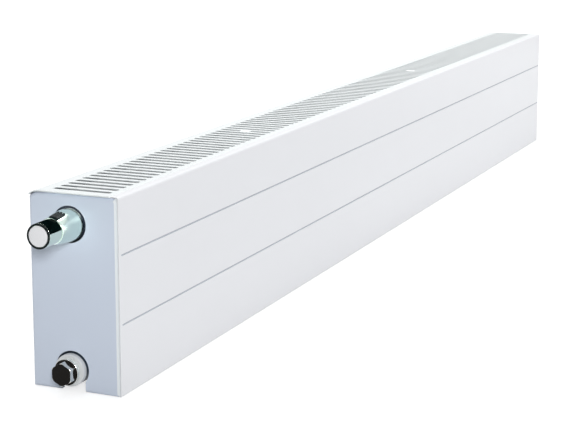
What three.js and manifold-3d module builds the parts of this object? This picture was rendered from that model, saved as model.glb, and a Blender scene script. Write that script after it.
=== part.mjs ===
// Low double-panel steel radiator with a smooth front cover, a slotted top grille, closed
// side panels, a built-in valve with its thermostatic head, and plugged side ports.
//
// Millimetres. +Z is up, +X runs along the length away from the thermostatic head, and the
// front cover faces -Y. The origin is the bottom centre of the whole radiator.

import * as THREE from 'three';
import { mergeVertices } from 'three/addons/utils/BufferGeometryUtils.js';
import Module from 'manifold-3d';

const wasm = await Module();
wasm.setup();

// ---------------------------------------------------------------------------------------
// Driving dimensions
// ---------------------------------------------------------------------------------------

const bodyLength = 1600;
const bodyHeight = 200;
const bodyDepth = 100;

const seatGap = 0.3; // clearance between two separate pieces that seat on each other
const overcut = 1; // cutting solids run this far past the faces they cut
const weldDistance = 1e-4; // vertices closer than this are one vertex

// Front cover: one sheet, folded back along its top and bottom edges
const coverSheet = 1.2;
const coverBend = 2.5;
const coverReturn = 8.6;
const grooveHeights = [142, 72.5];
const grooveWidth = 2.2;
const grooveDepth = 0.8;
const grooveEnd = 4.7;

// Top grille: one sheet with a cross slot for every pitch
const grilleSheet = 1.2;
const grilleJoint = 0.7; // dark line between the cover's top edge and the grille
const grilleFlange = 15.7;
const grilleBend = 1.6;
const slotPitch = 14.1;
const slotWidth = 7.5;
const slotFrontMargin = 16.6;
const slotRearMargin = 18.6;
const slotEndMargin = 12;
const shoulderRun = 11.2; // the rear top edge slopes down over this depth
const shoulderDrop = 4.5;

// Side panels: pressed pans with their open side facing the radiator
const sideSheet = 1.2;
const sideBend = 4;
const sideReach = 8.4;
const portHole = 18.5;
const pipeSlotWidth = 28.6;

// Water panels: two pressed sheets, seam welded all round
const panelSheet = 1.25;
const panelBottom = 2;
const panelTopDrop = 10;
const panelBulge = 8.2;
const panelEndGap = 0.6;
const seamWidth = 6;
const headerHeight = 30;
const headerChamfer = 2.2;
const channelPitch = 100 / 3;
const channelFoot = 22;
const channelCrest = 13;
const channelEndMargin = 22;

// Convector fins: folded sheets welded on the facing sides of the water panels
const finSheet = 0.8;
const finRoot = 11;
const finLean = 1.5;
const finTipClearance = 4.5;
const finBottom = 12;
const finTopDrop = 30;
const finEndInset = 46;

// Ports: side tees that join both water panels
const portDepth = 54.5;
const lowerPortHeight = 23;
const upperPortDrop = 31;
const teeInset = 26;
const teeTubeRadius = 13.5;
const bossRadius = 16.3;
const bossReach = 6;
const bossOverlap = 2; // the boss runs this far past the cross tube
const portBore = 9.5;
const portBoreDepth = 18;
const valveBossSink = 6; // the valve's boss ends this far behind the side panel's face

// Rear hanging lugs
const lugSheet = 2;
const lugStandoff = 5;
const lugWidth = 40;
const lugFoot = 12;
const lugRise = 4;
const lugTongue = 20;
const lugInset = 150;
const upperLugDrop = 52;
const lowerLugHeight = 10;

// Spacer brackets between the water panels, and the clips that hold the grille on them
const bracketSheet = 1.5;
const bracketWidth = 20;
const bracketTopDrop = 15;
const bracketEar = 12;
const clipFirst = 400;
const clipPitch = 600;
const clipEndMargin = 200;
const clipHeadLength = 12;
const clipStemWidth = 3;
const clipStemLength = 5;
const clipBarb = 1.6;
const clipBarbHeight = 4;

// Plugs in the side ports (distances run outward from the side panel's face)
const plugShankDepth = 16;
const sealThickness = 2.4;
const sealRadius = 12.4;
const plugFlangeRadius = 13.4;
const plugFlangeRim = 1.9;
const plugFlangeBevel = 1.7; // behind its rim, the flange narrows over this length
const hexCorner = 12;
const hexHeight = 9;
const hexChamfer = 1.3;

// Air vent in the upper right port
const ventHexHeight = 8.3;
const ventBore = 2.6;
const nozzleRecess = 2.4;
const nozzleSpigot = 5;
const nozzleRadius = 7.6;
const nozzleHeight = 5;
const nozzleBore = 4.1;
const nozzleEdge = 1;
const spoutRadius = 2;
const spoutReach = 11;
const bleedSquare = 5;
const bleedHeadHeight = 6.6;
const bleedShaftDepth = 20;

// Valve insert, spindle and spring
const insertDepth = 21.7;
const insertFlangeRadius = 12;
const insertFlange = 1.8;
const noseRadius = 8.1;
const noseReach = 2;
const insertFloor = 1.5;
const springChamber = 5.4;
const glandRadius = 4.3;
const glandDepth = 5.3;
const glandHeadRadius = 6.5;
const glandHead = 1.7;
const spindleRadius = 1.6;
const spindleReach = 5.6;
const spindleCollarRadius = 4.8;
const spindleCollar = 1.2;
const coneRadius = 6;
const coneThickness = 2.4;
const coneEdge = 1;
const valveTravel = 1.25; // the spindle and sensor move this far each way from rest
const valveSpringWire = 0.9;
const valveSpringRadius = 3.6;
const valveSpringTurns = 6;

// Thermostatic head
const nutRadius = 14.5;
const nutReach = 6.7;
const nutEdge = 1;
const bellMouth = 3; // the bell starts this far behind the side panel's face
const bellInsets = [2.2, 2.2, 2.4, 3, 4]; // the bell's radius, counted in from the port hole's
const bellReaches = [-bellMouth, 2, 9, 16, 24.5];
const bellNeckLip = 0.6;
const bellPocket = 3;
const bellWall = 1.9;
const bellWeb = 2;
const bellEnd = 33;
const gripRadius = 12.5;
const gripWall = 1.9;
const gripReach = 55.1;
const gripEndWall = 1.5;
const spigotLength = 6;
const spigotWall = 0.8;
const endRingHeight = 1;
const endRingWall = 2;
const endRingEdge = 0.5;
const endCapDome = 0.7;
const endCapEdge = 0.6;
const endCapShoulder = 0.55; // radius share where the dome has risen to most of its height
const endCapRise = 0.75;
const sensorStart = 16.5;
const sensorLength = 26.5;
const sensorRadius = 9.2;
const sensorEdge = 2;
const sensorThreadHeight = 4;
const sensorPinRadius = 2.4;
const reliefSpringWire = 1.1;
const reliefSpringRadius = 6;
const reliefSpringTurns = 4;
const indexStart = 19;
const indexEnd = 34.5;
const indexThickness = 1.4;
const indexLean = 13; // degrees that it leans from the top towards the front
const indexTeeth = 3;
const indexToothPitch = 3.3;
const indexToothGap = 1.3;
const indexToothDepth = 2.4;

// Faceting
const visibleSides = 24;
const hiddenSides = 14;
const bendSteps = 4;
const springSteps = 8;
const springSides = 4;

// ---------------------------------------------------------------------------------------
// Places worked out from the driving dimensions
// ---------------------------------------------------------------------------------------

const upperPortHeight = bodyHeight - upperPortDrop;
const grilleUnderside = bodyHeight - grilleSheet;
const grilleFront = coverReturn + grilleJoint;
const sideRoom = sideReach + seatGap;
const panelStart = sideReach + panelEndGap;
const panelTop = bodyHeight - panelTopDrop;
const seamPlate = 2 * panelSheet;
const frontPanelFace = coverSheet + grooveDepth + seatGap;
const frontPanelBack = frontPanelFace + seamPlate + panelBulge;
const rearPanelBack = bodyDepth - lugStandoff;
const rearPanelFace = rearPanelBack - seamPlate - panelBulge;
const shaftWidth = rearPanelFace - frontPanelBack;
const finDepth = (shaftWidth - 2 * seatGap - finTipClearance) / 2;
const plugFace = bossReach + sealThickness + 2 * seatGap;
const hexBase = plugFace + plugFlangeBevel + plugFlangeRim;
const ventFace = hexBase + ventHexHeight;
const nozzleTop = ventFace + seatGap + nozzleHeight;
const bleedTop = ventFace + seatGap + bleedHeadHeight;
const springChamberTop = -glandDepth - seatGap;
const sensorEnd = sensorStart + sensorLength;
const gripBore = gripRadius - gripWall;
const headTop = gripReach + seatGap + endRingHeight + endCapDome;
const headLow = -headTop;
const overallMiddle = (headLow + bodyLength + bleedTop) / 2;

// ---------------------------------------------------------------------------------------
// Finishes
// ---------------------------------------------------------------------------------------

const finishes = {
  frontEnamel: { color: 0xe4e5ea, roughness: 0.32, metalness: 0 },
  sideEnamel: { color: 0xc9cfdc, roughness: 0.3, metalness: 0 },
  grilleEnamel: { color: 0xeef3f3, roughness: 0.35, metalness: 0 },
  panelEnamel: { color: 0xdfe3e6, roughness: 0.4, metalness: 0 },
  finEnamel: { color: 0xc6d0d0, roughness: 0.5, metalness: 0 },
  chrome: { color: 0xb9c6c2, roughness: 0.06, metalness: 1 },
  satinChrome: { color: 0xd3dcd8, roughness: 0.18, metalness: 1 },
  darkNickel: { color: 0x8d8d88, roughness: 0.16, metalness: 1 },
  blackGloss: { color: 0x08100f, roughness: 0.12, metalness: 0 },
  whitePlastic: { color: 0xeff0f1, roughness: 0.3, metalness: 0 },
  brass: { color: 0xb9974e, roughness: 0.3, metalness: 1 },
  springSteel: { color: 0x9a9da0, roughness: 0.3, metalness: 1 },
  sealRubber: { color: 0x1d1d1f, roughness: 0.8, metalness: 0 },
};

// ---------------------------------------------------------------------------------------
// Solids: three.js geometry in, boolean work, three.js geometry out
// ---------------------------------------------------------------------------------------

function solid(geometry) {
  const bare = geometry.index ? geometry.toNonIndexed() : geometry.clone();
  bare.deleteAttribute('normal');
  bare.deleteAttribute('uv');
  const merged = mergeVertices(bare, weldDistance);
  const corners = merged.index.array;
  const triVerts = [];
  for (let i = 0; i < corners.length; i += 3) {
    const [a, b, c] = [corners[i], corners[i + 1], corners[i + 2]];
    if (a !== b && b !== c && c !== a) triVerts.push(a, b, c);
  }
  return new wasm.Manifold(new wasm.Mesh({
    numProp: 3,
    vertProperties: new Float32Array(merged.attributes.position.array),
    triVerts: new Uint32Array(triVerts),
  }));
}

function geometryOf(body) {
  const mesh = body.getMesh();
  const geometry = new THREE.BufferGeometry();
  geometry.setAttribute('position', new THREE.BufferAttribute(mesh.vertProperties, 3));
  geometry.setIndex(new THREE.BufferAttribute(mesh.triVerts, 1));
  geometry.computeVertexNormals();
  return geometry;
}

function piece(name, finish, body) {
  const mesh = new THREE.Mesh(geometryOf(body), new THREE.MeshStandardMaterial(finishes[finish]));
  mesh.name = name;
  return mesh;
}

function block(x0, x1, y0, y1, z0, z1) {
  const geometry = new THREE.BoxGeometry(x1 - x0, y1 - y0, z1 - z0);
  geometry.translate((x0 + x1) / 2, (y0 + y1) / 2, (z0 + z1) / 2);
  return solid(geometry);
}

// An outline drawn in Y and Z, run along X
function alongX(shape, x0, x1, options = {}) {
  const geometry = new THREE.ExtrudeGeometry(shape, { depth: x1 - x0, bevelEnabled: false, ...options });
  const unit = [new THREE.Vector3(0, 1, 0), new THREE.Vector3(0, 0, 1), new THREE.Vector3(1, 0, 0)];
  geometry.applyMatrix4(new THREE.Matrix4().makeBasis(...unit));
  geometry.translate(x0, 0, 0);
  return solid(geometry);
}

// An outline drawn in X and Z, run along Y
function alongY(shape, y0, y1) {
  const geometry = new THREE.ExtrudeGeometry(shape, { depth: y1 - y0, bevelEnabled: false });
  geometry.rotateX(Math.PI / 2);
  geometry.translate(0, y1, 0);
  return solid(geometry);
}

// An outline drawn in X and Y, run along Z
function alongZ(shape, z0, z1) {
  const geometry = new THREE.ExtrudeGeometry(shape, { depth: z1 - z0, bevelEnabled: false });
  geometry.translate(0, 0, z0);
  return solid(geometry);
}

// A profile of [radius, height] corners, turned about the Y axis
function turned(profile, sides = visibleSides) {
  const points = profile.map(([radius, height]) => new THREE.Vector2(radius, height));
  return solid(new THREE.LatheGeometry(points, sides));
}

function outlineOf(corners) {
  return new THREE.Shape(corners.map(([a, b]) => new THREE.Vector2(a, b)));
}

// ---------------------------------------------------------------------------------------
// Folded sheet: a path of corners with bends, given a thickness to its left
// ---------------------------------------------------------------------------------------

// Rounds every inner corner of an open path with an arc of the given radius
function bentPath(corners, radius) {
  const points = corners.map(([a, b]) => new THREE.Vector2(a, b));
  const path = [points[0]];
  for (let i = 1; i < points.length - 1; i += 1) {
    const back = points[i - 1].clone().sub(points[i]).normalize();
    const ahead = points[i + 1].clone().sub(points[i]).normalize();
    const halfAngle = back.angleTo(ahead) / 2;
    const reach = radius / Math.tan(halfAngle);
    const start = points[i].clone().addScaledVector(back, reach);
    const end = points[i].clone().addScaledVector(ahead, reach);
    const inward = back.clone().add(ahead).normalize();
    const centre = points[i].clone().addScaledVector(inward, radius / Math.sin(halfAngle));
    const turn = start.clone().sub(centre).cross(end.clone().sub(centre)) > 0 ? 1 : -1;
    const sweep = turn * (Math.PI - 2 * halfAngle);
    for (let step = 0; step <= bendSteps; step += 1) {
      path.push(start.clone().rotateAround(centre, (sweep * step) / bendSteps));
    }
  }
  path.push(points[points.length - 1]);
  return path;
}

// Moves an open path sideways, to the left of its direction, with mitred corners
function shifted(path, distance) {
  return path.map((point, i) => {
    const before = i > 0 ? point.clone().sub(path[i - 1]).normalize() : null;
    const after = i < path.length - 1 ? path[i + 1].clone().sub(point).normalize() : null;
    const first = before ?? after;
    const second = after ?? before;
    const normal = new THREE.Vector2(-(first.y + second.y), first.x + second.x).normalize();
    const cosine = normal.dot(new THREE.Vector2(-first.y, first.x));
    return point.clone().addScaledVector(normal, distance / cosine);
  });
}

function sheetShape(path, thickness) {
  return new THREE.Shape([...path, ...shifted(path, thickness).reverse()]);
}

// ---------------------------------------------------------------------------------------
// Body sheets
// ---------------------------------------------------------------------------------------

// Lengths at both ends where folded edges are cut away to make room for the side panels
const endCuts = [[-overcut, sideRoom], [bodyLength - sideRoom, bodyLength + overcut]];

function frontCover() {
  const section = bentPath(
    [[coverReturn, 0], [0, 0], [0, bodyHeight], [coverReturn, bodyHeight]].reverse(),
    coverBend,
  );
  let cover = alongX(sheetShape(section, coverSheet), 0, bodyLength);
  for (const height of grooveHeights) {
    const half = grooveWidth / 2;
    const narrow = grooveWidth / 4;
    const bead = outlineOf([
      [coverSheet / 2, height - half - coverSheet / 2],
      [coverSheet, height - half - coverSheet / 2],
      [coverSheet + grooveDepth, height - half],
      [coverSheet + grooveDepth, height + half],
      [coverSheet, height + half + coverSheet / 2],
      [coverSheet / 2, height + half + coverSheet / 2],
    ]);
    const groove = outlineOf([
      [-coverSheet, height - half],
      [0, height - half],
      [grooveDepth, height - narrow],
      [grooveDepth, height + narrow],
      [0, height + half],
      [-coverSheet, height + half],
    ]);
    cover = cover.add(alongX(bead, sideRoom, bodyLength - sideRoom));
    cover = cover.subtract(alongX(groove, grooveEnd, bodyLength - grooveEnd));
  }
  for (const [from, to] of endCuts) {
    const inner = [coverSheet, coverReturn + overcut, -overcut, coverBend + coverSheet];
    cover = cover.subtract(block(from, to, ...inner));
  }
  return cover;
}

// The grille's outer surface from its front flange over the top to the rear shoulder
function grillePath() {
  const front = bentPath(
    [
      [grilleFront, bodyHeight - grilleFlange],
      [grilleFront, bodyHeight],
      [bodyDepth - shoulderRun, bodyHeight],
    ],
    grilleBend,
  );
  const shoulder = new THREE.QuadraticBezierCurve(
    new THREE.Vector2(bodyDepth - shoulderRun, bodyHeight),
    new THREE.Vector2(bodyDepth - shoulderRun / 3, bodyHeight),
    new THREE.Vector2(bodyDepth, bodyHeight - shoulderDrop),
  );
  return [...front, ...shoulder.getPoints(bendSteps).slice(1)];
}

function slotCentres() {
  const usable = bodyLength - 2 * slotEndMargin - slotWidth;
  const count = Math.floor(usable / slotPitch) + 1;
  const first = bodyLength / 2 - ((count - 1) * slotPitch) / 2;
  return Array.from({ length: count }, (_, i) => first + i * slotPitch);
}

function topGrille() {
  const path = grillePath();
  let grille = alongX(sheetShape(path, -grilleSheet), 0, bodyLength);
  const half = slotWidth / 2;
  const near = slotFrontMargin;
  const far = bodyDepth - slotRearMargin;
  for (const x of slotCentres()) {
    const slot = outlineOf([[x - half, near], [x + half, near], [x + half, far], [x - half, far]]);
    grille = grille.subtract(alongZ(slot, grilleUnderside - overcut, bodyHeight + overcut));
  }
  const flangeBack = grilleFront + grilleBend + grilleSheet;
  for (const [from, to] of endCuts) {
    const low = bodyHeight - grilleFlange - overcut;
    grille = grille.subtract(block(from, to, grilleFront - overcut, flangeBack, low, grilleUnderside));
  }
  return grille;
}

// What lies under the cover's top bend and the grille's rear shoulder, `inset` further in
function underTopEdges(hand, inset) {
  const under = shifted(grillePath(), -(grilleSheet + seatGap + inset)).slice(-(bendSteps + 1));
  const last = under[under.length - 1];
  const front = coverSheet + seatGap + inset;
  const corners = [
    [0, -overcut],
    [bodyDepth + overcut, -overcut],
    [bodyDepth + overcut, last.y - overcut],
    ...under.reverse().map((point) => [point.x, point.y]),
    [front + coverBend, under[under.length - 1].y],
    [0, under[under.length - 1].y - coverBend - front],
  ];
  return alongX(outlineOf(corners.map(([y, z]) => [hand * y, z])), -overcut, 2 * sideReach);
}

// Side panel in its end frame: x runs into the radiator, hand is 1 at the left end and -1 at
// the right end, where the frame is turned half round
function sidePanel(hand) {
  const front = coverSheet + seatGap;
  const top = grilleUnderside - seatGap;
  const corners = [[front, 0], [bodyDepth, 0], [bodyDepth, top], [front, top]];
  const outline = outlineOf(corners.map(([y, z]) => [hand * y, z]));
  const pan = (inset) => {
    const bend = sideBend - inset;
    const options = {
      bevelEnabled: true,
      bevelThickness: bend,
      bevelSize: bend,
      bevelOffset: -sideBend,
      bevelSegments: bendSteps,
    };
    const pressed = alongX(outline, sideBend, sideBend + 2 * sideReach, options);
    return pressed.intersect(underTopEdges(hand, inset));
  };
  const beyond = block(sideReach, 6 * sideReach, -2 * bodyDepth, 2 * bodyDepth, -bodyHeight, 2 * bodyHeight);
  let panel = pan(0).subtract(pan(sideSheet)).subtract(beyond);
  const slotHalf = pipeSlotWidth / 2;
  const centre = hand * portDepth;
  const hole = (height) => {
    const disc = new THREE.Shape().absarc(centre, height, portHole, 0, 2 * Math.PI);
    return alongX(disc, -overcut, sideReach + overcut, { curveSegments: visibleSides / 2 });
  };
  panel = panel.subtract(hole(upperPortHeight)).subtract(hole(lowerPortHeight));
  const span = [centre - slotHalf, centre + slotHalf];
  const slot = block(-overcut, sideReach + overcut, ...span, -overcut, lowerPortHeight);
  return panel.subtract(slot);
}

// ---------------------------------------------------------------------------------------
// Water panels and convectors
// ---------------------------------------------------------------------------------------

function channelCentres() {
  const usable = bodyLength - 2 * (panelStart + seamWidth + channelEndMargin);
  const count = Math.floor(usable / channelPitch) + 1;
  const first = bodyLength / 2 - ((count - 1) * channelPitch) / 2;
  return Array.from({ length: count }, (_, i) => first + i * channelPitch);
}

// Flat front sheet, and a rear sheet pressed into two header channels joined by upright ones
function waterPanel(face) {
  const root = face + panelSheet;
  const seam = face + seamPlate;
  const crest = seam + panelBulge;
  const low = panelStart + seamWidth;
  const header = (height) => {
    const half = headerHeight / 2;
    return alongX(outlineOf([
      [root, height - half],
      [crest - headerChamfer, height - half],
      [crest, height - half + headerChamfer],
      [crest, height + half - headerChamfer],
      [crest - headerChamfer, height + half],
      [root, height + half],
    ]), low, bodyLength - low);
  };
  let panel = block(panelStart, bodyLength - panelStart, face, seam, panelBottom, panelTop);
  panel = panel.add(header(upperPortHeight)).add(header(lowerPortHeight));
  for (const x of channelCentres()) {
    const channel = outlineOf([
      [x - channelFoot / 2, root],
      [x - channelFoot / 2, seam],
      [x - channelCrest / 2, crest],
      [x + channelCrest / 2, crest],
      [x + channelFoot / 2, seam],
      [x + channelFoot / 2, root],
    ]);
    panel = panel.add(alongZ(channel, lowerPortHeight, upperPortHeight));
  }
  return panel;
}

// Folded fins whose roots sit on a water panel and whose tips reach into the shaft
function convector(rootFace, side) {
  const tipFace = rootFace + side * finDepth;
  const centres = channelCentres().filter((x) => x > finEndInset && x < bodyLength - finEndInset);
  const path = [];
  for (const x of centres) {
    path.push([x - finRoot / 2 - finLean, tipFace], [x - finRoot / 2, rootFace]);
    path.push([x + finRoot / 2, rootFace], [x + finRoot / 2 + finLean, tipFace]);
  }
  const points = path.map(([x, y]) => new THREE.Vector2(x, y));
  return alongZ(sheetShape(points, side * finSheet), finBottom, bodyHeight - finTopDrop);
}

// ---------------------------------------------------------------------------------------
// Hanging lugs, spacer brackets and grille clips
// ---------------------------------------------------------------------------------------

function hangingLug(x, bottom) {
  const foot = rearPanelBack + seatGap;
  const tongue = bodyDepth - lugSheet;
  const path = [
    [foot, bottom],
    [foot, bottom + lugFoot],
    [tongue, bottom + lugFoot + lugRise],
    [tongue, bottom + lugFoot + lugRise + lugTongue],
  ].map(([y, z]) => new THREE.Vector2(y, z));
  return alongX(sheetShape(path, -lugSheet), x - lugWidth / 2, x + lugWidth / 2);
}

function clipPlaces() {
  const centres = slotCentres();
  const places = [];
  for (let x = clipFirst; x <= bodyLength - clipEndMargin; x += clipPitch) {
    places.push(centres.reduce((best, c) => (Math.abs(c - x) < Math.abs(best - x) ? c : best)));
  }
  return places;
}

const slotMiddle = (slotFrontMargin + bodyDepth - slotRearMargin) / 2;
const bracketTop = bodyHeight - bracketTopDrop;

function spacerBracket(x) {
  const front = frontPanelBack + seatGap;
  const rear = rearPanelFace - seatGap;
  const earLow = bracketTop - bracketEar;
  const path = bentPath(
    [[front, earLow], [front, bracketTop], [rear, bracketTop], [rear, earLow]],
    bracketSheet * 2,
  );
  const strap = alongX(sheetShape(path, -bracketSheet), x - bracketWidth / 2, x + bracketWidth / 2);
  const halfWidth = clipStemWidth / 2 + seatGap;
  const halfLength = clipStemLength / 2 + seatGap;
  const hole = [x - halfWidth, x + halfWidth, slotMiddle - halfLength, slotMiddle + halfLength];
  return strap.subtract(block(...hole, bracketTop - 2 * bracketSheet, bracketTop + overcut));
}

function grilleClip(x) {
  const headHalf = slotWidth / 2 - seatGap;
  const stemHalf = clipStemWidth / 2;
  const barbTop = bracketTop - bracketSheet - seatGap;
  const head = block(
    x - headHalf, x + headHalf,
    slotMiddle - clipHeadLength / 2, slotMiddle + clipHeadLength / 2,
    grilleUnderside, bodyHeight,
  );
  const stem = outlineOf([
    [x - stemHalf, grilleUnderside + grilleSheet / 2],
    [x - stemHalf, barbTop],
    [x - stemHalf - clipBarb, barbTop],
    [x - stemHalf / 2, barbTop - clipBarbHeight],
    [x + stemHalf / 2, barbTop - clipBarbHeight],
    [x + stemHalf + clipBarb, barbTop],
    [x + stemHalf, barbTop],
    [x + stemHalf, grilleUnderside + grilleSheet / 2],
  ]);
  return head.add(alongY(stem, slotMiddle - clipStemLength / 2, slotMiddle + clipStemLength / 2));
}

// ---------------------------------------------------------------------------------------
// Port tees
// ---------------------------------------------------------------------------------------

// A cylinder whose axis runs into the radiator, from one x to another
function roundAlongX(radius, x0, x1, y, z, sides = hiddenSides) {
  const geometry = new THREE.CylinderGeometry(radius, radius, x1 - x0, sides);
  geometry.rotateZ(Math.PI / 2);
  geometry.translate((x0 + x1) / 2, y, z);
  return solid(geometry);
}

// Tee in its end frame: a cross tube between the water panels with a boss out to the port
function portTee(hand, height, bossEnd, boreDepth) {
  const front = frontPanelBack + seatGap;
  const rear = rearPanelFace - seatGap;
  const tube = new THREE.CylinderGeometry(teeTubeRadius, teeTubeRadius, rear - front, hiddenSides);
  tube.translate(teeInset, (hand * (front + rear)) / 2, height);
  const centre = hand * portDepth;
  const inner = teeInset + teeTubeRadius + bossOverlap;
  const boss = roundAlongX(bossRadius, -bossEnd, inner, centre, height, visibleSides);
  const bore = roundAlongX(portBore, -bossEnd - overcut, boreDepth, centre, height);
  return solid(tube).add(boss).subtract(bore);
}

// ---------------------------------------------------------------------------------------
// Turned pieces: built about Y, which a port's frame turns to point outward
// ---------------------------------------------------------------------------------------

function ring(inner, outer, low, high, sides = hiddenSides) {
  return turned([[inner, low], [outer, low], [outer, high], [inner, high], [inner, low]], sides);
}

// Hexagon with one corner up and its outer edge chamfered
function hexHead(low, high) {
  const hexagon = new THREE.CylinderGeometry(hexCorner, hexCorner, high - low, 6);
  hexagon.translate(0, (low + high) / 2, 0);
  const cone = turned([
    [0, low],
    [hexCorner + overcut, low],
    [hexCorner + overcut, high - hexChamfer],
    [hexCorner - hexChamfer, high],
    [0, high],
  ]);
  return solid(hexagon).intersect(cone);
}

function plugBody(hexTop) {
  const shank = portBore - seatGap;
  const round = turned([
    [0, plugFace - plugShankDepth],
    [shank, plugFace - plugShankDepth],
    [shank, plugFace],
    [sealRadius, plugFace],
    [plugFlangeRadius, plugFace + plugFlangeBevel],
    [plugFlangeRadius, hexBase],
    [0, hexBase],
  ]);
  return round.add(hexHead(hexBase - plugFlangeRim / 2, hexTop));
}

function plugSeal() {
  return ring(portBore, sealRadius, bossReach + seatGap, bossReach + seatGap + sealThickness);
}

function blankPlug() {
  return plugBody(hexBase + hexHeight);
}

function ventPlug() {
  const bore = ring(0, ventBore, plugFace - plugShankDepth - overcut, ventFace + overcut);
  const floor = ventFace - nozzleRecess - seatGap;
  const recess = ring(0, nozzleSpigot + seatGap, floor, ventFace + overcut);
  return plugBody(ventFace).subtract(bore).subtract(recess);
}

function ventNozzle() {
  const low = ventFace - nozzleRecess;
  const shoulder = ventFace + seatGap;
  const collar = turned([
    [nozzleBore, low],
    [nozzleSpigot, low],
    [nozzleSpigot, shoulder],
    [nozzleRadius, shoulder],
    [nozzleRadius, nozzleTop - nozzleEdge],
    [nozzleRadius - nozzleEdge, nozzleTop],
    [nozzleBore, nozzleTop],
    [nozzleBore, low],
  ]);
  const reach = spoutReach - nozzleBore - nozzleEdge;
  const spout = new THREE.CylinderGeometry(spoutRadius, spoutRadius, reach, hiddenSides);
  spout.rotateX(Math.PI / 2);
  spout.translate(0, (shoulder + nozzleTop) / 2, -(spoutReach - reach / 2));
  return collar.add(solid(spout));
}

function bleedScrew() {
  const shaft = ventBore - seatGap;
  const low = bleedTop - bleedShaftDepth;
  const headLow = bleedTop - bleedHeadHeight;
  const half = bleedSquare / 2;
  const top = headLow + overcut;
  const rod = turned([[0, low], [shaft, low], [shaft, top], [0, top]], hiddenSides);
  return rod.add(block(-half, half, headLow, bleedTop, -half, half));
}

// ---------------------------------------------------------------------------------------
// Valve inside the upper left tee
// ---------------------------------------------------------------------------------------

const flangeLow = -valveBossSink + seatGap;

function valveInsert() {
  const shank = portBore - seatGap;
  const innerBore = spindleRadius + seatGap;
  return turned([
    [innerBore, -insertDepth],
    [shank, -insertDepth],
    [shank, flangeLow],
    [insertFlangeRadius, flangeLow],
    [insertFlangeRadius, flangeLow + insertFlange],
    [noseRadius, flangeLow + insertFlange],
    [noseRadius, noseReach],
    [glandRadius + seatGap, noseReach],
    [glandRadius + seatGap, springChamberTop],
    [springChamber, springChamberTop],
    [springChamber, -insertDepth + insertFloor],
    [innerBore, -insertDepth + insertFloor],
    [innerBore, -insertDepth],
  ], hiddenSides);
}

function glandNut() {
  const bore = spindleRadius + seatGap;
  return turned([
    [bore, -glandDepth],
    [glandRadius, -glandDepth],
    [glandRadius, noseReach + seatGap],
    [glandHeadRadius, noseReach + seatGap],
    [glandHeadRadius, noseReach + seatGap + glandHead],
    [bore, noseReach + seatGap + glandHead],
    [bore, -glandDepth],
  ], hiddenSides);
}

const collarTop = springChamberTop - valveTravel - seatGap;
const coneTop = -insertDepth - valveTravel - seatGap;

function valveSpindle() {
  return turned([
    [0, coneTop - coneThickness],
    [coneRadius - coneEdge, coneTop - coneThickness],
    [coneRadius, coneTop - coneThickness / 2],
    [coneRadius, coneTop],
    [spindleRadius, coneTop],
    [spindleRadius, collarTop - spindleCollar],
    [spindleCollarRadius, collarTop - spindleCollar],
    [spindleCollarRadius, collarTop],
    [spindleRadius, collarTop],
    [spindleRadius, spindleReach],
    [0, spindleReach],
  ], hiddenSides);
}

// A wound wire about Y, as one closed tube with flat ends
function coilSpring(radius, wire, low, high, turns) {
  const rise = high - low - wire;
  const steps = turns * springSteps;
  const positions = [];
  const indices = [];
  for (let i = 0; i <= steps; i += 1) {
    const angle = (2 * Math.PI * turns * i) / steps;
    const height = low + wire / 2 + (rise * i) / steps;
    for (let k = 0; k < springSides; k += 1) {
      const around = (2 * Math.PI * k) / springSides;
      const reach = radius + (wire / 2) * Math.cos(around);
      const lift = height + (wire / 2) * Math.sin(around);
      positions.push(reach * Math.cos(angle), lift, reach * Math.sin(angle));
    }
  }
  for (let i = 0; i < steps; i += 1) {
    for (let k = 0; k < springSides; k += 1) {
      const next = (k + 1) % springSides;
      const [a, b] = [i * springSides + k, i * springSides + next];
      indices.push(a, b, b + springSides, a, b + springSides, a + springSides);
    }
  }
  const last = steps * springSides;
  for (let k = 1; k < springSides - 1; k += 1) {
    indices.push(0, k + 1, k, last, last + k, last + k + 1);
  }
  const geometry = new THREE.BufferGeometry();
  geometry.setAttribute('position', new THREE.Float32BufferAttribute(positions, 3));
  geometry.setIndex(indices);
  return solid(geometry);
}

// ---------------------------------------------------------------------------------------
// Thermostatic head
// ---------------------------------------------------------------------------------------

function unionNut() {
  const low = flangeLow + insertFlange + seatGap;
  return turned([
    [noseRadius + seatGap, low],
    [nutRadius, low],
    [nutRadius, nutReach - nutEdge],
    [nutRadius - nutEdge, nutReach],
    [noseRadius + seatGap, nutReach],
    [noseRadius + seatGap, low],
  ]);
}

// Outer surface of the bell, from its mouth inside the side panel to its neck at the grip
function bellCurve() {
  const stations = bellInsets.map((inset, i) => new THREE.Vector2(portHole - inset, bellReaches[i]));
  const neck = new THREE.Vector2(gripRadius + bellNeckLip, bellEnd);
  return new THREE.SplineCurve([...stations, neck]).getPoints(2 * bendSteps);
}

function headBell() {
  const outer = bellCurve().map((point) => [point.x, point.y]);
  const nutRoom = nutRadius + seatGap;
  const webLow = nutReach + seatGap;
  const webHigh = webLow + bellWeb;
  const neckBore = gripBore + spigotWall + seatGap;
  const pocket = portHole - Math.max(...bellInsets) - bellWall;
  return turned([
    [nutRoom, -bellMouth],
    ...outer,
    [neckBore, bellEnd],
    [neckBore, bellEnd - spigotLength - seatGap],
    [pocket, webHigh + bellPocket],
    [pocket, webHigh],
    [sensorPinRadius + seatGap, webHigh],
    [sensorPinRadius + seatGap, webLow],
    [nutRoom, webLow],
    [nutRoom, -bellMouth],
  ]);
}

function gripCylinder() {
  const spigotLow = bellEnd + seatGap - spigotLength;
  return turned([
    [0, gripReach - gripEndWall],
    [gripBore, gripReach - gripEndWall],
    [gripBore, spigotLow],
    [gripBore + spigotWall, spigotLow],
    [gripBore + spigotWall, bellEnd + seatGap],
    [gripRadius, bellEnd + seatGap],
    [gripRadius, gripReach],
    [0, gripReach],
  ]);
}

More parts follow.
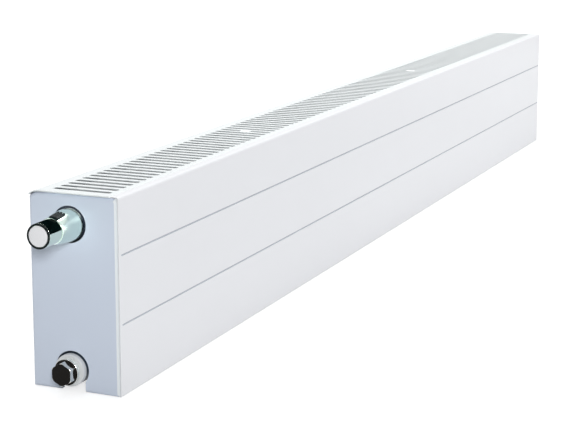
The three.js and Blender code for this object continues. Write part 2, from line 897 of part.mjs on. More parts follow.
function endRing() {
  const low = gripReach + seatGap;
  const high = low + endRingHeight;
  const inner = gripRadius - endRingWall;
  return turned([
    [inner, low],
    [gripRadius, low],
    [gripRadius, high - endRingEdge],
    [gripRadius - endRingEdge, high],
    [inner, high],
    [inner, low],
  ]);
}

function endCap() {
  const low = gripReach + seatGap;
  const high = low + endRingHeight;
  const radius = gripRadius - endRingWall - seatGap;
  return turned([
    [0, low],
    [radius, low],
    [radius, high - endCapEdge],
    [radius - endCapEdge, high],
    [radius * endCapShoulder, high + endCapDome * endCapRise],
    [0, high + endCapDome],
  ]);
}

function sensorCapsule() {
  const thread = gripBore - seatGap;
  const threadLow = sensorEnd - 2 * sensorThreadHeight;
  return turned([
    [0, sensorStart],
    [sensorRadius - sensorEdge, sensorStart],
    [sensorRadius, sensorStart + sensorEdge],
    [sensorRadius, threadLow],
    [thread, threadLow],
    [thread, threadLow + sensorThreadHeight],
    [sensorRadius, threadLow + sensorThreadHeight],
    [sensorRadius, sensorEnd],
    [0, sensorEnd],
  ], hiddenSides);
}

function sensorPin() {
  return turned([
    [0, spindleReach + seatGap],
    [sensorPinRadius, spindleReach + seatGap],
    [sensorPinRadius, sensorStart - seatGap],
    [0, sensorStart - seatGap],
  ], hiddenSides);
}

// Pointer that lies on the bell from the grip's edge, with its teeth toward the side panel
function settingIndex() {
  const half = (indexTeeth * indexToothPitch - indexToothGap) / 2;
  const root = indexStart + indexToothDepth;
  let comb = block(-half, half, indexStart, indexEnd, 0, portHole);
  for (let i = 1; i < indexTeeth; i += 1) {
    const next = i * indexToothPitch - half;
    const low = indexStart - overcut;
    comb = comb.subtract(block(next - indexToothGap, next, low, root, -overcut, portHole + overcut));
  }
  const upper = (lift) => turned([
    [0, -overcut],
    ...bellCurve().filter((point) => point.y > 0).map((point) => [point.x + lift, point.y]),
    [gripRadius + bellNeckLip + lift, indexEnd + overcut],
    [0, indexEnd + overcut],
  ]);
  const pointer = comb.intersect(upper(seatGap + indexThickness)).subtract(upper(seatGap));
  return pointer.rotate([0, -indexLean, 0]);
}

// ---------------------------------------------------------------------------------------
// Assembly
// ---------------------------------------------------------------------------------------

// A port's frame: its Y axis points outward along the port
function portFrame(hand, height) {
  const frame = new THREE.Group();
  frame.position.set(0, hand * portDepth, height);
  frame.rotation.z = Math.PI / 2;
  return frame;
}

function thermostaticValve(hand) {
  const frame = portFrame(hand, upperPortHeight);
  const springLow = -insertDepth + insertFloor + seatGap;
  const springHigh = collarTop - spindleCollar - seatGap;
  const reliefLow = sensorEnd + seatGap;
  const reliefHigh = gripReach - gripEndWall - seatGap;
  frame.add(
    piece('valve_insert', 'brass', valveInsert()),
    piece('gland_nut', 'brass', glandNut()),
    piece('valve_spindle', 'springSteel', valveSpindle()),
    piece('valve_spring', 'springSteel', coilSpring(
      valveSpringRadius, valveSpringWire, springLow, springHigh, valveSpringTurns,
    )),
    piece('union_nut', 'darkNickel', unionNut()),
    piece('head_bell', 'satinChrome', headBell()),
    piece('setting_index', 'blackGloss', settingIndex()),
    piece('grip_cylinder', 'chrome', gripCylinder()),
    piece('end_ring', 'blackGloss', endRing()),
    piece('end_cap', 'whitePlastic', endCap()),
    piece('sensor_capsule', 'whitePlastic', sensorCapsule()),
    piece('sensor_pin', 'whitePlastic', sensorPin()),
    piece('relief_spring', 'springSteel', coilSpring(
      reliefSpringRadius, reliefSpringWire, reliefLow, reliefHigh, reliefSpringTurns,
    )),
  );
  return frame;
}

function plugSet(hand, height, side) {
  const frame = portFrame(hand, height);
  frame.add(
    piece(`${side}_blank_plug`, 'darkNickel', blankPlug()),
    piece(`${side}_plug_seal`, 'sealRubber', plugSeal()),
  );
  return frame;
}

function airVent(hand) {
  const frame = portFrame(hand, upperPortHeight);
  frame.add(
    piece('vent_plug', 'darkNickel', ventPlug()),
    piece('vent_seal', 'sealRubber', plugSeal()),
    piece('vent_nozzle', 'whitePlastic', ventNozzle()),
    piece('bleed_screw', 'darkNickel', bleedScrew()),
  );
  return frame;
}

function leftEnd() {
  const end = new THREE.Group();
  const valveBore = teeInset + coneThickness + 2 * valveTravel;
  end.add(
    piece('left_side_panel', 'sideEnamel', sidePanel(1)),
    piece('upper_left_tee', 'panelEnamel', portTee(1, upperPortHeight, -valveBossSink, valveBore)),
    piece('lower_left_tee', 'panelEnamel', portTee(1, lowerPortHeight, bossReach, portBoreDepth)),
    thermostaticValve(1),
    plugSet(1, lowerPortHeight, 'left'),
  );
  return end;
}

function rightEnd() {
  const end = new THREE.Group();
  end.position.x = bodyLength;
  end.rotation.z = Math.PI;
  end.add(
    piece('right_side_panel', 'sideEnamel', sidePanel(-1)),
    piece('upper_right_tee', 'panelEnamel', portTee(-1, upperPortHeight, bossReach, portBoreDepth)),
    piece('lower_right_tee', 'panelEnamel', portTee(-1, lowerPortHeight, bossReach, portBoreDepth)),
    airVent(-1),
    plugSet(-1, lowerPortHeight, 'right'),
  );
  return end;
}

function body() {
  const group = new THREE.Group();
  group.add(
    piece('front_cover', 'frontEnamel', frontCover()),
    piece('top_grille', 'grilleEnamel', topGrille()),
    piece('front_water_panel', 'panelEnamel', waterPanel(frontPanelFace)),
    piece('rear_water_panel', 'panelEnamel', waterPanel(rearPanelFace)),
    piece('front_convector', 'finEnamel', convector(frontPanelBack + seatGap, 1)),
    piece('rear_convector', 'finEnamel', convector(rearPanelFace - seatGap, -1)),
  );
  clipPlaces().forEach((x, i) => {
    group.add(piece(`spacer_bracket_${i + 1}`, 'panelEnamel', spacerBracket(x)));
    group.add(piece(`grille_clip_${i + 1}`, 'whitePlastic', grilleClip(x)));
  });
  const upperLug = bodyHeight - upperLugDrop;
  for (const [side, x] of [['left', lugInset], ['right', bodyLength - lugInset]]) {
    group.add(piece(`upper_${side}_lug`, 'panelEnamel', hangingLug(x, upperLug)));
    group.add(piece(`lower_${side}_lug`, 'panelEnamel', hangingLug(x, lowerLugHeight)));
  }
  return group;
}

const radiator = new THREE.Group();
radiator.position.set(-overallMiddle, -bodyDepth / 2, 0);
radiator.add(body(), leftEnd(), rightEnd());

export default radiator;
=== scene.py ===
"""Looks of the low panel radiator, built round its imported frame.

Lengths in the dataclasses are millimetres in the radiator's own body frame: x runs along
the length from the head's end, y from the front cover to the wall, and z up.
"""

import logging
import math
from collections.abc import Callable, Iterable, Sequence
from dataclasses import dataclass, field
from enum import Enum
from functools import cache

import bmesh
import bpy
from mathutils import Matrix, Vector

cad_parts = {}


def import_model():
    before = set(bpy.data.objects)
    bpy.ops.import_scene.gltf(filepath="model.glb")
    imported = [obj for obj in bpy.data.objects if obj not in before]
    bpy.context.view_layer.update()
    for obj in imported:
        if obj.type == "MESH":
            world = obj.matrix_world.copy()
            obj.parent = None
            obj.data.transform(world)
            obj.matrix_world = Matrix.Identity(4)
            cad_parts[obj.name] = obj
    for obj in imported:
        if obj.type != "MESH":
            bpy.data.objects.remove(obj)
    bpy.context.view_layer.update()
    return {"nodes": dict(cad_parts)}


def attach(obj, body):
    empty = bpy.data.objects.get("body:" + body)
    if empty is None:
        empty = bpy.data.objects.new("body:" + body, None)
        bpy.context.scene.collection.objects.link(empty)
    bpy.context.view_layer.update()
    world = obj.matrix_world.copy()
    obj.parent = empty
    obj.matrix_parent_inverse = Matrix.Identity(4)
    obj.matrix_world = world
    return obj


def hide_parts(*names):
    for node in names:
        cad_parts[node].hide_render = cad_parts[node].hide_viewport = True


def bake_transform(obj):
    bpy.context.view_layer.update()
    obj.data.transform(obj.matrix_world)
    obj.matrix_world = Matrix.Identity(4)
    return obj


LOG = logging.getLogger("radiator")
MM = 0.001
SEAT_GAP = 0.3
OVERSHOOT = 1.0
# Reach outward from an end face at which painted shade inside a port hole gives way to the outer finish.
SHADE_LINE = 0.4
SHARP_ANGLE = math.radians(34)
WELD_DISTANCE = 1e-6
Pair = tuple[float, float]
Corner = tuple[float, float, float]
Point = tuple[float, float, float]
Rgb = tuple[float, float, float]
Rgba = tuple[float, float, float, float]
Socket = bpy.types.NodeSocket
MIDDLE_SPAN = (0.3, 0.7)


# ---------------------------------------------------------------------------------------
# Frame of the body and its ports
# ---------------------------------------------------------------------------------------


class End(Enum):
    """The two ends of the radiator, with the direction that leads outward along x."""

    LEFT = -1
    RIGHT = 1


@dataclass(frozen=True)
class BodyFrame:
    """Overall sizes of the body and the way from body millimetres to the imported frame."""

    length: float = 1600.0
    height: float = 200.0
    depth: float = 100.0
    middle: float = 785.35
    port_depth: float = 54.5
    lower_port: float = 23.0
    upper_port: float = 169.0
    front_panel_face: float = 2.3
    rear_panel_face: float = 84.3
    panel_stack: float = 10.7
    port_hole: float = 18.5
    shoulder_run: float = 11.2
    shoulder_drop: float = 4.5

    def place(self, x: float, y: float, z: float) -> Vector:
        """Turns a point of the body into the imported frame, in metres."""
        return Vector((x - self.middle, y - self.depth / 2, z)) * MM

    def end_x(self, end: End) -> float:
        """Gives the x of the outer face at one end."""
        return 0.0 if end is End.LEFT else self.length

    def end_rooms(self, room: float) -> tuple[Pair, Pair]:
        """Gives the x ranges of the two end rooms, which run past the ends."""
        return (-OVERSHOOT, room), (self.length - room, self.length + OVERSHOOT)

    def shoulder(self, steps: int) -> list[Pair]:
        """Draws the rear shoulder, where the flat top curves down to the rear.

        Args:
            steps: Segments of the curve.

        Returns:
            Its points in y and z, from the flat to the rear.
        """
        start = Vector((self.depth - self.shoulder_run, self.height))
        knee = Vector((self.depth - self.shoulder_run / 3, self.height))
        last = Vector((self.depth, self.height - self.shoulder_drop))
        line = []
        for step in range(steps + 1):
            t = step / steps
            here = start * (1 - t) ** 2 + knee * (2 * t * (1 - t)) + last * t * t
            line.append((here.x, here.y))
        return line


@dataclass(frozen=True)
class Port:
    """A side port: turned pieces are drawn as (radius, reach outward from the end face)."""

    body: BodyFrame
    end: End
    height: float

    def at(self, radius: float, angle: float, reach: float) -> Point:
        """Finds a point round the port's axis.

        Args:
            radius: Distance from the axis.
            angle: Angle round it, from the rear.
            reach: Distance outward from the end's face.

        Returns:
            The body point.
        """
        return (
            self.body.end_x(self.end) + self.end.value * reach,
            self.body.port_depth + radius * math.cos(angle),
            self.height + radius * math.sin(angle),
        )


# ---------------------------------------------------------------------------------------
# Outlines
# ---------------------------------------------------------------------------------------


def rounded(corners: Sequence[Corner], closed: bool = False, steps: int = 6) -> list[Pair]:
    """Rounds the corners of an outline.

    Args:
        corners: Points as (a, b, radius).
        closed: Whether the last corner joins the first.
        steps: Segments of each arc.

    Returns:
        The outline's points.
    """
    out: list[Pair] = []
    count = len(corners)
    for i, (a, b, radius) in enumerate(corners):
        here = Vector((a, b))
        if radius <= 0 or (not closed and i in (0, count - 1)):
            out.append((a, b))
            continue
        back = (Vector(corners[i - 1][:2]) - here).normalized()
        ahead = (Vector(corners[(i + 1) % count][:2]) - here).normalized()
        half = back.angle(ahead) / 2
        reach = radius / math.tan(half)
        centre = here + (back + ahead).normalized() * (radius / math.sin(half))
        start, end = here + back * reach - centre, here + ahead * reach - centre
        sweep = math.atan2(start.x * end.y - start.y * end.x, start.dot(end))
        for step in range(steps + 1):
            turn = Matrix.Rotation(sweep * step / steps, 2)
            point = centre + turn @ start
            out.append((point.x, point.y))
    return out


def shifted(path: Sequence[Pair], distance: float, closed: bool = False) -> list[Pair]:
    """Moves a path sideways to the left of its direction, with mitred corners.

    Args:
        path: Points of the path.
        distance: How far it moves, in millimetres.
        closed: Whether the path is a ring.

    Returns:
        The moved path.
    """
    points = [Vector(p) for p in path]
    count = len(points)
    out: list[Pair] = []
    for i, point in enumerate(points):
        before = (point - points[i - 1]).normalized() if closed or i > 0 else None
        after = (points[(i + 1) % count] - point).normalized() if closed or i < count - 1 else None
        first, second = before or after, after or before
        normal = Vector((-(first.y + second.y), first.x + second.x)).normalized()
        cosine = normal.dot(Vector((-first.y, first.x)))
        moved = point + normal * (distance / cosine)
        out.append((moved.x, moved.y))
    return out


def held(path: Sequence[Pair], margin: float = 0.15, long: float = 4.0) -> list[Pair]:
    """Adds a point near both ends of each long straight, so that its shading stays flat.

    Args:
        path: Points of the path.
        margin: Distance of the added points from the ends, in millimetres.
        long: Only straights over this length get them.

    Returns:
        The path with the added points.
    """
    out = [path[0]]
    for first, second in zip(path, path[1:]):
        run = Vector(second) - Vector(first)
        if run.length > long:
            step = run.normalized() * margin
            out += [(first[0] + step.x, first[1] + step.y), (second[0] - step.x, second[1] - step.y)]
        out.append(second)
    return out


def curve_through(points: Sequence[Pair], steps: int) -> list[Pair]:
    """Runs a smooth line through points.

    Args:
        points: The points.
        steps: Segments between each two of them.

    Returns:
        The line's points.
    """
    knots = [Vector(p) for p in points]
    knots = [2 * knots[0] - knots[1], *knots, 2 * knots[-1] - knots[-2]]
    out: list[Pair] = []
    for i in range(1, len(knots) - 2):
        p0, p1, p2, p3 = knots[i - 1 : i + 3]
        for step in range(steps):
            t = step / steps
            cubic = 3 * p1 - 3 * p2 + p3 - p0
            square = 2 * p0 - 5 * p1 + 4 * p2 - p3
            value = (2 * p1 + (p2 - p0) * t + square * t * t + cubic * t**3) / 2
            out.append((value.x, value.y))
    out.append((points[-1][0], points[-1][1]))
    return out


# ---------------------------------------------------------------------------------------
# Mesh work
# ---------------------------------------------------------------------------------------


@dataclass
class Workpiece:
    """A mesh being made, drawn in body millimetres."""

    body: BodyFrame
    bm: bmesh.types.BMesh = field(default_factory=bmesh.new)

    def ring(self, points: Iterable[Point]) -> list[bmesh.types.BMVert]:
        """Adds points of the body as vertices."""
        return [self.bm.verts.new(self.body.place(*p)) for p in points]

    def face(self, ring: Sequence[bmesh.types.BMVert]) -> None:
        """Closes a ring with one face."""
        self.bm.faces.new(ring)

    def bridge(
        self,
        first: Sequence[bmesh.types.BMVert],
        second: Sequence[bmesh.types.BMVert],
        closed: bool = True,
    ) -> None:
        """Joins two rings of the same count with quads.

        Args:
            first: One ring.
            second: The next ring.
            closed: Whether the last vertex joins the first.
        """
        count = len(first)
        for i in range(count if closed else count - 1):
            j = (i + 1) % count
            self.bm.faces.new((first[i], first[j], second[j], second[i]))

    def loft(self, sections: Sequence[Sequence[Point]]) -> None:
        """Runs a closed skin through sections and closes both ends.

        Args:
            sections: Rings of points, all of the same count.
        """
        rings = [self.ring(section) for section in sections]
        for first, second in zip(rings, rings[1:]):
            self.bridge(first, second)
        self.face(rings[0][::-1])
        self.face(rings[-1])

    def turned(
        self,
        profile: Sequence[Pair],
        at: Callable[[float, float, float], Point],
        sides: int = 96,
        closed: bool = False,
    ) -> None:
        """Turns a profile of (radius, reach) about an axis.

        Args:
            profile: The profile's points. A radius of 0 is a pole.
            at: Gives the body point for a radius, an angle and a reach.
            sides: Segments round the axis.
            closed: Whether the profile is a ring, such as a washer's.
        """
        rings = []
        for radius, reach in profile:
            if radius < 1e-6:
                rings.append(self.ring([at(0.0, 0.0, reach)]))
                continue
            angles = (2 * math.pi * k / sides for k in range(sides))
            rings.append(self.ring([at(radius, angle, reach) for angle in angles]))
        pairs = list(zip(rings, rings[1:]))
        if closed:
            pairs.append((rings[-1], rings[0]))
        for first, second in pairs:
            if len(first) == 1 or len(second) == 1:
                pole, rim = (first[0], second) if len(first) == 1 else (second[0], first)
                for k in range(sides):
                    self.bm.faces.new((pole, rim[k], rim[(k + 1) % sides]))
            else:
                self.bridge(first, second)

    def plain(self, name: str) -> bpy.types.Object:
        """Ends the work.

        Args:
            name: The object's name.

        Returns:
            An object with clean outward faces.
        """
        bmesh.ops.remove_doubles(self.bm, verts=self.bm.verts, dist=1e-7)
        bmesh.ops.recalc_face_normals(self.bm, faces=self.bm.faces)
        mesh = bpy.data.meshes.new(name)
        self.bm.to_mesh(mesh)
        self.bm.free()
        obj = bpy.data.objects.new(name, mesh)
        bpy.context.scene.collection.objects.link(obj)
        return obj


def turning(
    body: BodyFrame,
    profile: Sequence[Pair],
    at: Callable[[float, float, float], Point],
    sides: int,
    name: str = "turning",
    closed: bool = False,
) -> bpy.types.Object:
    """Makes one turned shape.

    Args:
        body: The body's frame.
        profile: The points of (radius, reach).
        at: Gives the body point for a radius, an angle and a reach.
        sides: Segments round the axis.
        name: The object's name.
        closed: Whether the profile is a ring.

    Returns:
        The shape.
    """
    work = Workpiece(body)
    work.turned(profile, at, sides, closed)
    return work.plain(name)


def box_between(body: BodyFrame, low: Point, high: Point) -> bpy.types.Object:
    """Makes a plain box.

    Args:
        body: The body's frame.
        low: Its lowest corner.
        high: Its highest corner.

    Returns:
        The box.
    """
    (x0, y0, z0), (x1, y1, z1) = low, high
    base = [(x0, y0), (x1, y0), (x1, y1), (x0, y1)]
    work = Workpiece(body)
    work.loft([[(x, y, z) for x, y in base] for z in (z0, z1)])
    return work.plain("box")


def baked(obj: bpy.types.Object) -> bpy.types.Object:
    """Puts an object's modifiers into its mesh and takes them off.

    Args:
        obj: The object with its modifiers.

    Returns:
        The same object as a plain mesh.
    """
    graph = bpy.context.evaluated_depsgraph_get()
    old = obj.data
    obj.data = bpy.data.meshes.new_from_object(obj.evaluated_get(graph), depsgraph=graph)
    obj.modifiers.clear()
    bpy.data.meshes.remove(old)
    return obj


def cut(
    target: bpy.types.Object, tools: Iterable[bpy.types.Object], operation: str = "DIFFERENCE"
) -> bpy.types.Object:
    """Works closed shapes into another with an exact boolean.

    Args:
        target: The shape that is kept.
        tools: The shapes that cut it or are joined to it. They are used up.
        operation: Blender's name for the boolean.

    Returns:
        The target.
    """
    used = list(tools)
    for tool in used:
        boolean = target.modifiers.new("work", "BOOLEAN")
        boolean.operation = operation
        boolean.solver = "EXACT"
        boolean.object = tool
    baked(target)
    for tool in used:
        bpy.data.objects.remove(tool, do_unlink=True)
    return target


def add_rounding(
    obj: bpy.types.Object, width: float, segments: int = 2, limit: float = 40.0
) -> bpy.types.BevelModifier:
    """Adds a bevel for an object's hard edges.

    Args:
        obj: The piece.
        width: The rounding in millimetres.
        segments: Segments of the rounding.
        limit: Only edges sharper than this many degrees are rounded.

    Returns:
        The modifier.
    """
    bevel = obj.modifiers.new("rounding", "BEVEL")
    bevel.width = width * MM
    bevel.segments = segments
    bevel.limit_method = "ANGLE"
    bevel.angle_limit = math.radians(limit)
    return bevel


def softened(
    obj: bpy.types.Object, width: float, segments: int = 2, limit: float = 40.0, even: bool = True
) -> bpy.types.Object:
    """Rounds an object's hard edges and evens its shading.

    Args:
        obj: The piece, as a welded mesh.
        width: The rounding in millimetres, 0 for none.
        segments: Segments of the rounding.
        limit: Only edges sharper than this many degrees are rounded.
        even: Whether large flats keep their shading beside small roundings. A turned
            piece has none, and goes without.

    Returns:
        The same object with its mesh finished.
    """
    if width > 0:
        add_rounding(obj, width, segments, limit).miter_outer = "MITER_ARC"
        baked(obj)
    smooth_by_angle(obj.data)
    if even:
        weighted = obj.modifiers.new("even_shading", "WEIGHTED_NORMAL")
        weighted.keep_sharp = True
        baked(obj)
    return obj


def smooth_by_angle(mesh: bpy.types.Mesh) -> None:
    """Shades a mesh smooth, with its hard edges kept sharp.

    Args:
        mesh: The mesh.
    """
    bm = bmesh.new()
    bm.from_mesh(mesh)
    for face in bm.faces:
        face.smooth = True
    for edge in bm.edges:
        edge.smooth = len(edge.link_faces) == 2 and edge.calc_face_angle(0.0) < SHARP_ANGLE
    bm.to_mesh(mesh)
    bm.free()


# ---------------------------------------------------------------------------------------
# Geometry Nodes
# ---------------------------------------------------------------------------------------


class NodeSketch:
    """A node tree that is being drawn."""

    def __init__(self, tree: bpy.types.NodeTree) -> None:
        """Keeps the tree to draw in."""
        self.tree = tree

    def add(
        self, kind: str, values: dict[str | int, object] | None = None, **settings: object
    ) -> bpy.types.Node:
        """Adds a node.

        Args:
            kind: The node's type name.
            values: Socket values or source sockets, by the input's name or number.
            **settings: Attributes of the node.

        Returns:
            The node.
        """
        node = self.tree.nodes.new(kind)
        for name, value in settings.items():
            setattr(node, name, value)
        for key, value in (values or {}).items():
            socket = node.inputs[key]
            if isinstance(value, bpy.types.NodeSocket):
                self.tree.links.new(value, socket)
            else:
                socket.default_value = value
        return node

    def math(self, operation: str, *values: object) -> Socket:
        """Adds a Math node and gives its result socket."""
        node = self.add("ShaderNodeMath", dict(enumerate(values)), operation=operation)
        return node.outputs[0]

    def band(self, value: Socket, low: object, high: object, span: Pair = MIDDLE_SPAN) -> Socket:
        """Spreads a value between two others.

        Args:
            value: The value.
            low: The result at the span's lower end and below it.
            high: The result at its higher end and above it.
            span: The stretch of the value that is spread.

        Returns:
            The result socket.
        """
        node = self.add("ShaderNodeMapRange", {
            "Value": value, "From Min": span[0], "From Max": span[1], "To Min": low, "To Max": high
        })
        return node.outputs[0]


def new_geometry_tree(name: str, inputs: dict[str, str]) -> bpy.types.NodeTree:
    """Makes an empty geometry tree with named inputs and a material.

    Args:
        name: The tree's name.
        inputs: Socket types by input name.

    Returns:
        The tree.
    """
    tree = bpy.data.node_groups.new(name, "GeometryNodeTree")
    face = tree.interface
    face.new_socket("Geometry", in_out="INPUT", socket_type="NodeSocketGeometry")
    for label, kind in inputs.items():
        face.new_socket(label, in_out="INPUT", socket_type=kind)
    face.new_socket("Material", in_out="INPUT", socket_type="NodeSocketMaterial")
    face.new_socket("Geometry", in_out="OUTPUT", socket_type="NodeSocketGeometry")
    return tree


@cache
def repeat_tree() -> bpy.types.NodeTree:
    """Makes the tree that repeats one pitch of sheet along the length and welds the row.

    Returns:
        The tree, which is made once.
    """
    tree = new_geometry_tree(
        "repeated_pitch",
        {"Count": "NodeSocketInt", "Pitch": "NodeSocketFloat", "Weld": "NodeSocketFloat"},
    )
    sketch = NodeSketch(tree)
    entry = sketch.add("NodeGroupInput")
    step = sketch.add("ShaderNodeCombineXYZ", {"X": entry.outputs["Pitch"]})
    line = sketch.add(
        "GeometryNodeMeshLine",
        {"Count": entry.outputs["Count"], "Offset": step.outputs[0]},
        mode="OFFSET",
    )
    copies = sketch.add(
        "GeometryNodeInstanceOnPoints",
        {"Points": line.outputs[0], "Instance": entry.outputs["Geometry"]},
    )
    real = sketch.add("GeometryNodeRealizeInstances", {"Geometry": copies.outputs[0]})
    weld = sketch.add(
        "GeometryNodeMergeByDistance",
        {"Geometry": real.outputs[0], "Distance": entry.outputs["Weld"]},
    )
    dress = sketch.add(
        "GeometryNodeSetMaterial",
        {"Geometry": weld.outputs[0], "Material": entry.outputs["Material"]},
    )
    sketch.add("NodeGroupOutput", {"Geometry": dress.outputs[0]})
    return tree


@cache
def relief_tree() -> bpy.types.NodeTree:
    """Makes the tree that presses header channels and upright channels into a plain grid.

    Returns:
        The tree, which is made once.
    """
    names = ("Pitch", "Foot", "Crest", "Bulge", "Low header", "High header", "Header height")
    names += ("Header slope", "First channel", "Last channel", "End", "Far end")
    tree = new_geometry_tree("pressed_channels", dict.fromkeys(names, "NodeSocketFloat"))
    sketch = NodeSketch(tree)
    math_of = sketch.math
    entry = sketch.add("NodeGroupInput")
    size = entry.outputs
    place = sketch.add("GeometryNodeInputPosition")
    split = sketch.add("ShaderNodeSeparateXYZ", {0: place.outputs[0]})
    along, up = split.outputs["X"], split.outputs["Z"]

    def ramp(distance: Socket, flat: Socket, slope: Socket) -> Socket:
        """Masks a channel.

        Args:
            distance: How far the point lies from the channel's middle.
            flat: Half width of the flat crest, where the mask is 1.
            slope: Width over which it falls smoothly to 0.

        Returns:
            The mask.
        """
        beyond = math_of("DIVIDE", math_of("SUBTRACT", distance, flat), slope)
        node = sketch.add("ShaderNodeMapRange", {"Value": beyond}, interpolation_type="SMOOTHSTEP")
        node.inputs["To Min"].default_value = 1.0
        node.inputs["To Max"].default_value = 0.0
        return node.outputs[0]

    half_header = math_of("DIVIDE", size["Header height"], 2.0)
    header_flat = math_of("SUBTRACT", half_header, size["Header slope"])

    def header(height: Socket) -> Socket:
        """Masks one header channel, whose middle lies at a height."""
        distance = math_of("ABSOLUTE", math_of("SUBTRACT", up, height))
        return ramp(distance, header_flat, size["Header slope"])

    half_pitch = math_of("DIVIDE", size["Pitch"], 2.0)
    shifted_x = math_of("ADD", math_of("SUBTRACT", along, size["First channel"]), half_pitch)
    wrapped = math_of("FLOORED_MODULO", shifted_x, size["Pitch"])
    from_middle = math_of("ABSOLUTE", math_of("SUBTRACT", wrapped, half_pitch))
    crest_half = math_of("DIVIDE", size["Crest"], 2.0)
    slope = math_of("SUBTRACT", math_of("DIVIDE", size["Foot"], 2.0), crest_half)
    channel = ramp(from_middle, crest_half, slope)
    after = math_of("GREATER_THAN", shifted_x, 0.0)
    last = math_of("ADD", size["Last channel"], half_pitch)
    before = math_of("LESS_THAN", along, last)
    channel = math_of("MULTIPLY", channel, math_of("MULTIPLY", after, before))
    above = math_of("GREATER_THAN", up, size["Low header"])
    between = math_of("MULTIPLY", above, math_of("LESS_THAN", up, size["High header"]))
    channel = math_of("MULTIPLY", channel, between)
    headers = math_of("MAXIMUM", header(size["Low header"]), header(size["High header"]))
    middle = math_of("DIVIDE", math_of("ADD", size["End"], size["Far end"]), 2.0)
    reach = math_of("DIVIDE", math_of("SUBTRACT", size["Far end"], size["End"]), 2.0)
    aside = math_of("ABSOLUTE", math_of("SUBTRACT", along, middle))
    inner = math_of("SUBTRACT", reach, size["Header slope"])
    headers = math_of("MULTIPLY", headers, ramp(aside, inner, size["Header slope"]))
    lift = math_of("MULTIPLY", math_of("MAXIMUM", headers, channel), size["Bulge"])
    offset = sketch.add("ShaderNodeCombineXYZ", {"Y": lift})
    press = sketch.add(
        "GeometryNodeSetPosition", {"Geometry": size["Geometry"], "Offset": offset.outputs[0]}
    )
    real = sketch.add("GeometryNodeRealizeInstances", {"Geometry": press.outputs[0]})
    dress = sketch.add(
        "GeometryNodeSetMaterial", {"Geometry": real.outputs[0], "Material": size["Material"]}
    )
    sketch.add("NodeGroupOutput", {"Geometry": dress.outputs[0]})
    return tree


def run_tree(
    obj: bpy.types.Object, tree: bpy.types.NodeTree, values: dict[str, object]
) -> bpy.types.Object:
    """Runs a geometry tree on an object and keeps the result as a plain mesh.

    Args:
        obj: The object whose mesh goes into the tree.
        tree: The tree.
        values: Input values by socket name.

    Returns:
        The same object.
    """
    modifier = obj.modifiers.new(tree.name, "NODES")
    modifier.node_group = tree
    for item in tree.interface.items_tree:
        if item.in_out == "INPUT" and item.name in values:
            modifier[item.identifier] = values[item.name]
    return baked(obj)


# ---------------------------------------------------------------------------------------
# Shared shader groups and finishes
# ---------------------------------------------------------------------------------------


class SurfaceSketch(NodeSketch):
    """A shader group that gives a colour, a roughness and a height."""

    def __init__(self, name: str, inputs: dict[str, float | Rgba]) -> None:
        """Makes the group with its sockets.

        Args:
            name: The group's name.
            inputs: Default value by input name. Four numbers make a colour socket.
        """
        super().__init__(bpy.data.node_groups.new(name, "ShaderNodeTree"))
        face = self.tree.interface
        for label, value in inputs.items():
            kind = "NodeSocketColor" if isinstance(value, tuple) else "NodeSocketFloat"
            face.new_socket(label, in_out="INPUT", socket_type=kind).default_value = value
        face.new_socket("Colour", in_out="OUTPUT", socket_type="NodeSocketColor")
        for label in ("Roughness", "Height"):
            face.new_socket(label, in_out="OUTPUT", socket_type="NodeSocketFloat")
        self.given = self.add("NodeGroupInput").outputs
        self.where = self.add("ShaderNodeTexCoord").outputs["Object"]

    def noise(self, vector: Socket, scale: Socket, detail: float = 2.0) -> Socket:
        """Adds a noise texture.

        Args:
            vector: Where it is read.
            scale: Its scale.
            detail: Octaves of finer noise.

        Returns:
            The value socket.
        """
        values = {"Vector": vector, "Scale": scale, "Detail": detail}
        return self.add("ShaderNodeTexNoise", values).outputs[0]

    def tint(self, second: str, amount: Socket) -> Socket:
        """Mixes the tint towards a second one.

        Args:
            second: Name of the second tint's input.
            amount: Share of the second tint.

        Returns:
            The colour socket.
        """
        values = {0: amount, 6: self.given["Tint"], 7: self.given[second]}
        return self.add("ShaderNodeMix", values, data_type="RGBA").outputs[2]

    def gloss(self, value: Socket, span: Pair = MIDDLE_SPAN) -> Socket:
        """Spreads a value between the low and the high roughness."""
        return self.band(value, self.given["Roughness low"], self.given["Roughness high"], span)

    def end(self, colour: Socket, roughness: Socket, height: Socket) -> bpy.types.NodeTree:
        """Joins the results to the group's outputs and gives the group."""
        self.add("NodeGroupOutput", {"Colour": colour, "Roughness": roughness, "Height": height})
        return self.tree


@cache
def enamel_group() -> bpy.types.NodeTree:
    """Makes sprayed enamel: uneven tone, orange peel and a little settled dust.

    Returns:
        The group, which is made once.
    """
    sketch = SurfaceSketch("sprayed_enamel", {
        "Tint": (0.8, 0.8, 0.8, 1.0), "Thin tint": (0.75, 0.75, 0.77, 1.0),
        "Cloud scale": 9.0, "Cloud amount": 0.3, "Sheen scale": 23.4,
        "Peel scale": 420.0, "Dust scale": 2100.0, "Dust height": 0.12,
        "Roughness low": 0.25, "Roughness high": 0.35,
    })
    given, where = sketch.given, sketch.where
    clouds = sketch.noise(where, given["Cloud scale"], 3.0)
    colour = sketch.tint("Thin tint", sketch.math("MULTIPLY", clouds, given["Cloud amount"]))
    dust = sketch.noise(where, given["Dust scale"])
    raised = sketch.math("MULTIPLY", dust, given["Dust height"])
    height = sketch.math("ADD", sketch.noise(where, given["Peel scale"], 1.0), raised)
    sheen = sketch.noise(where, given["Sheen scale"])
    return sketch.end(colour, sketch.gloss(sheen, (0.0, 1.0)), height)


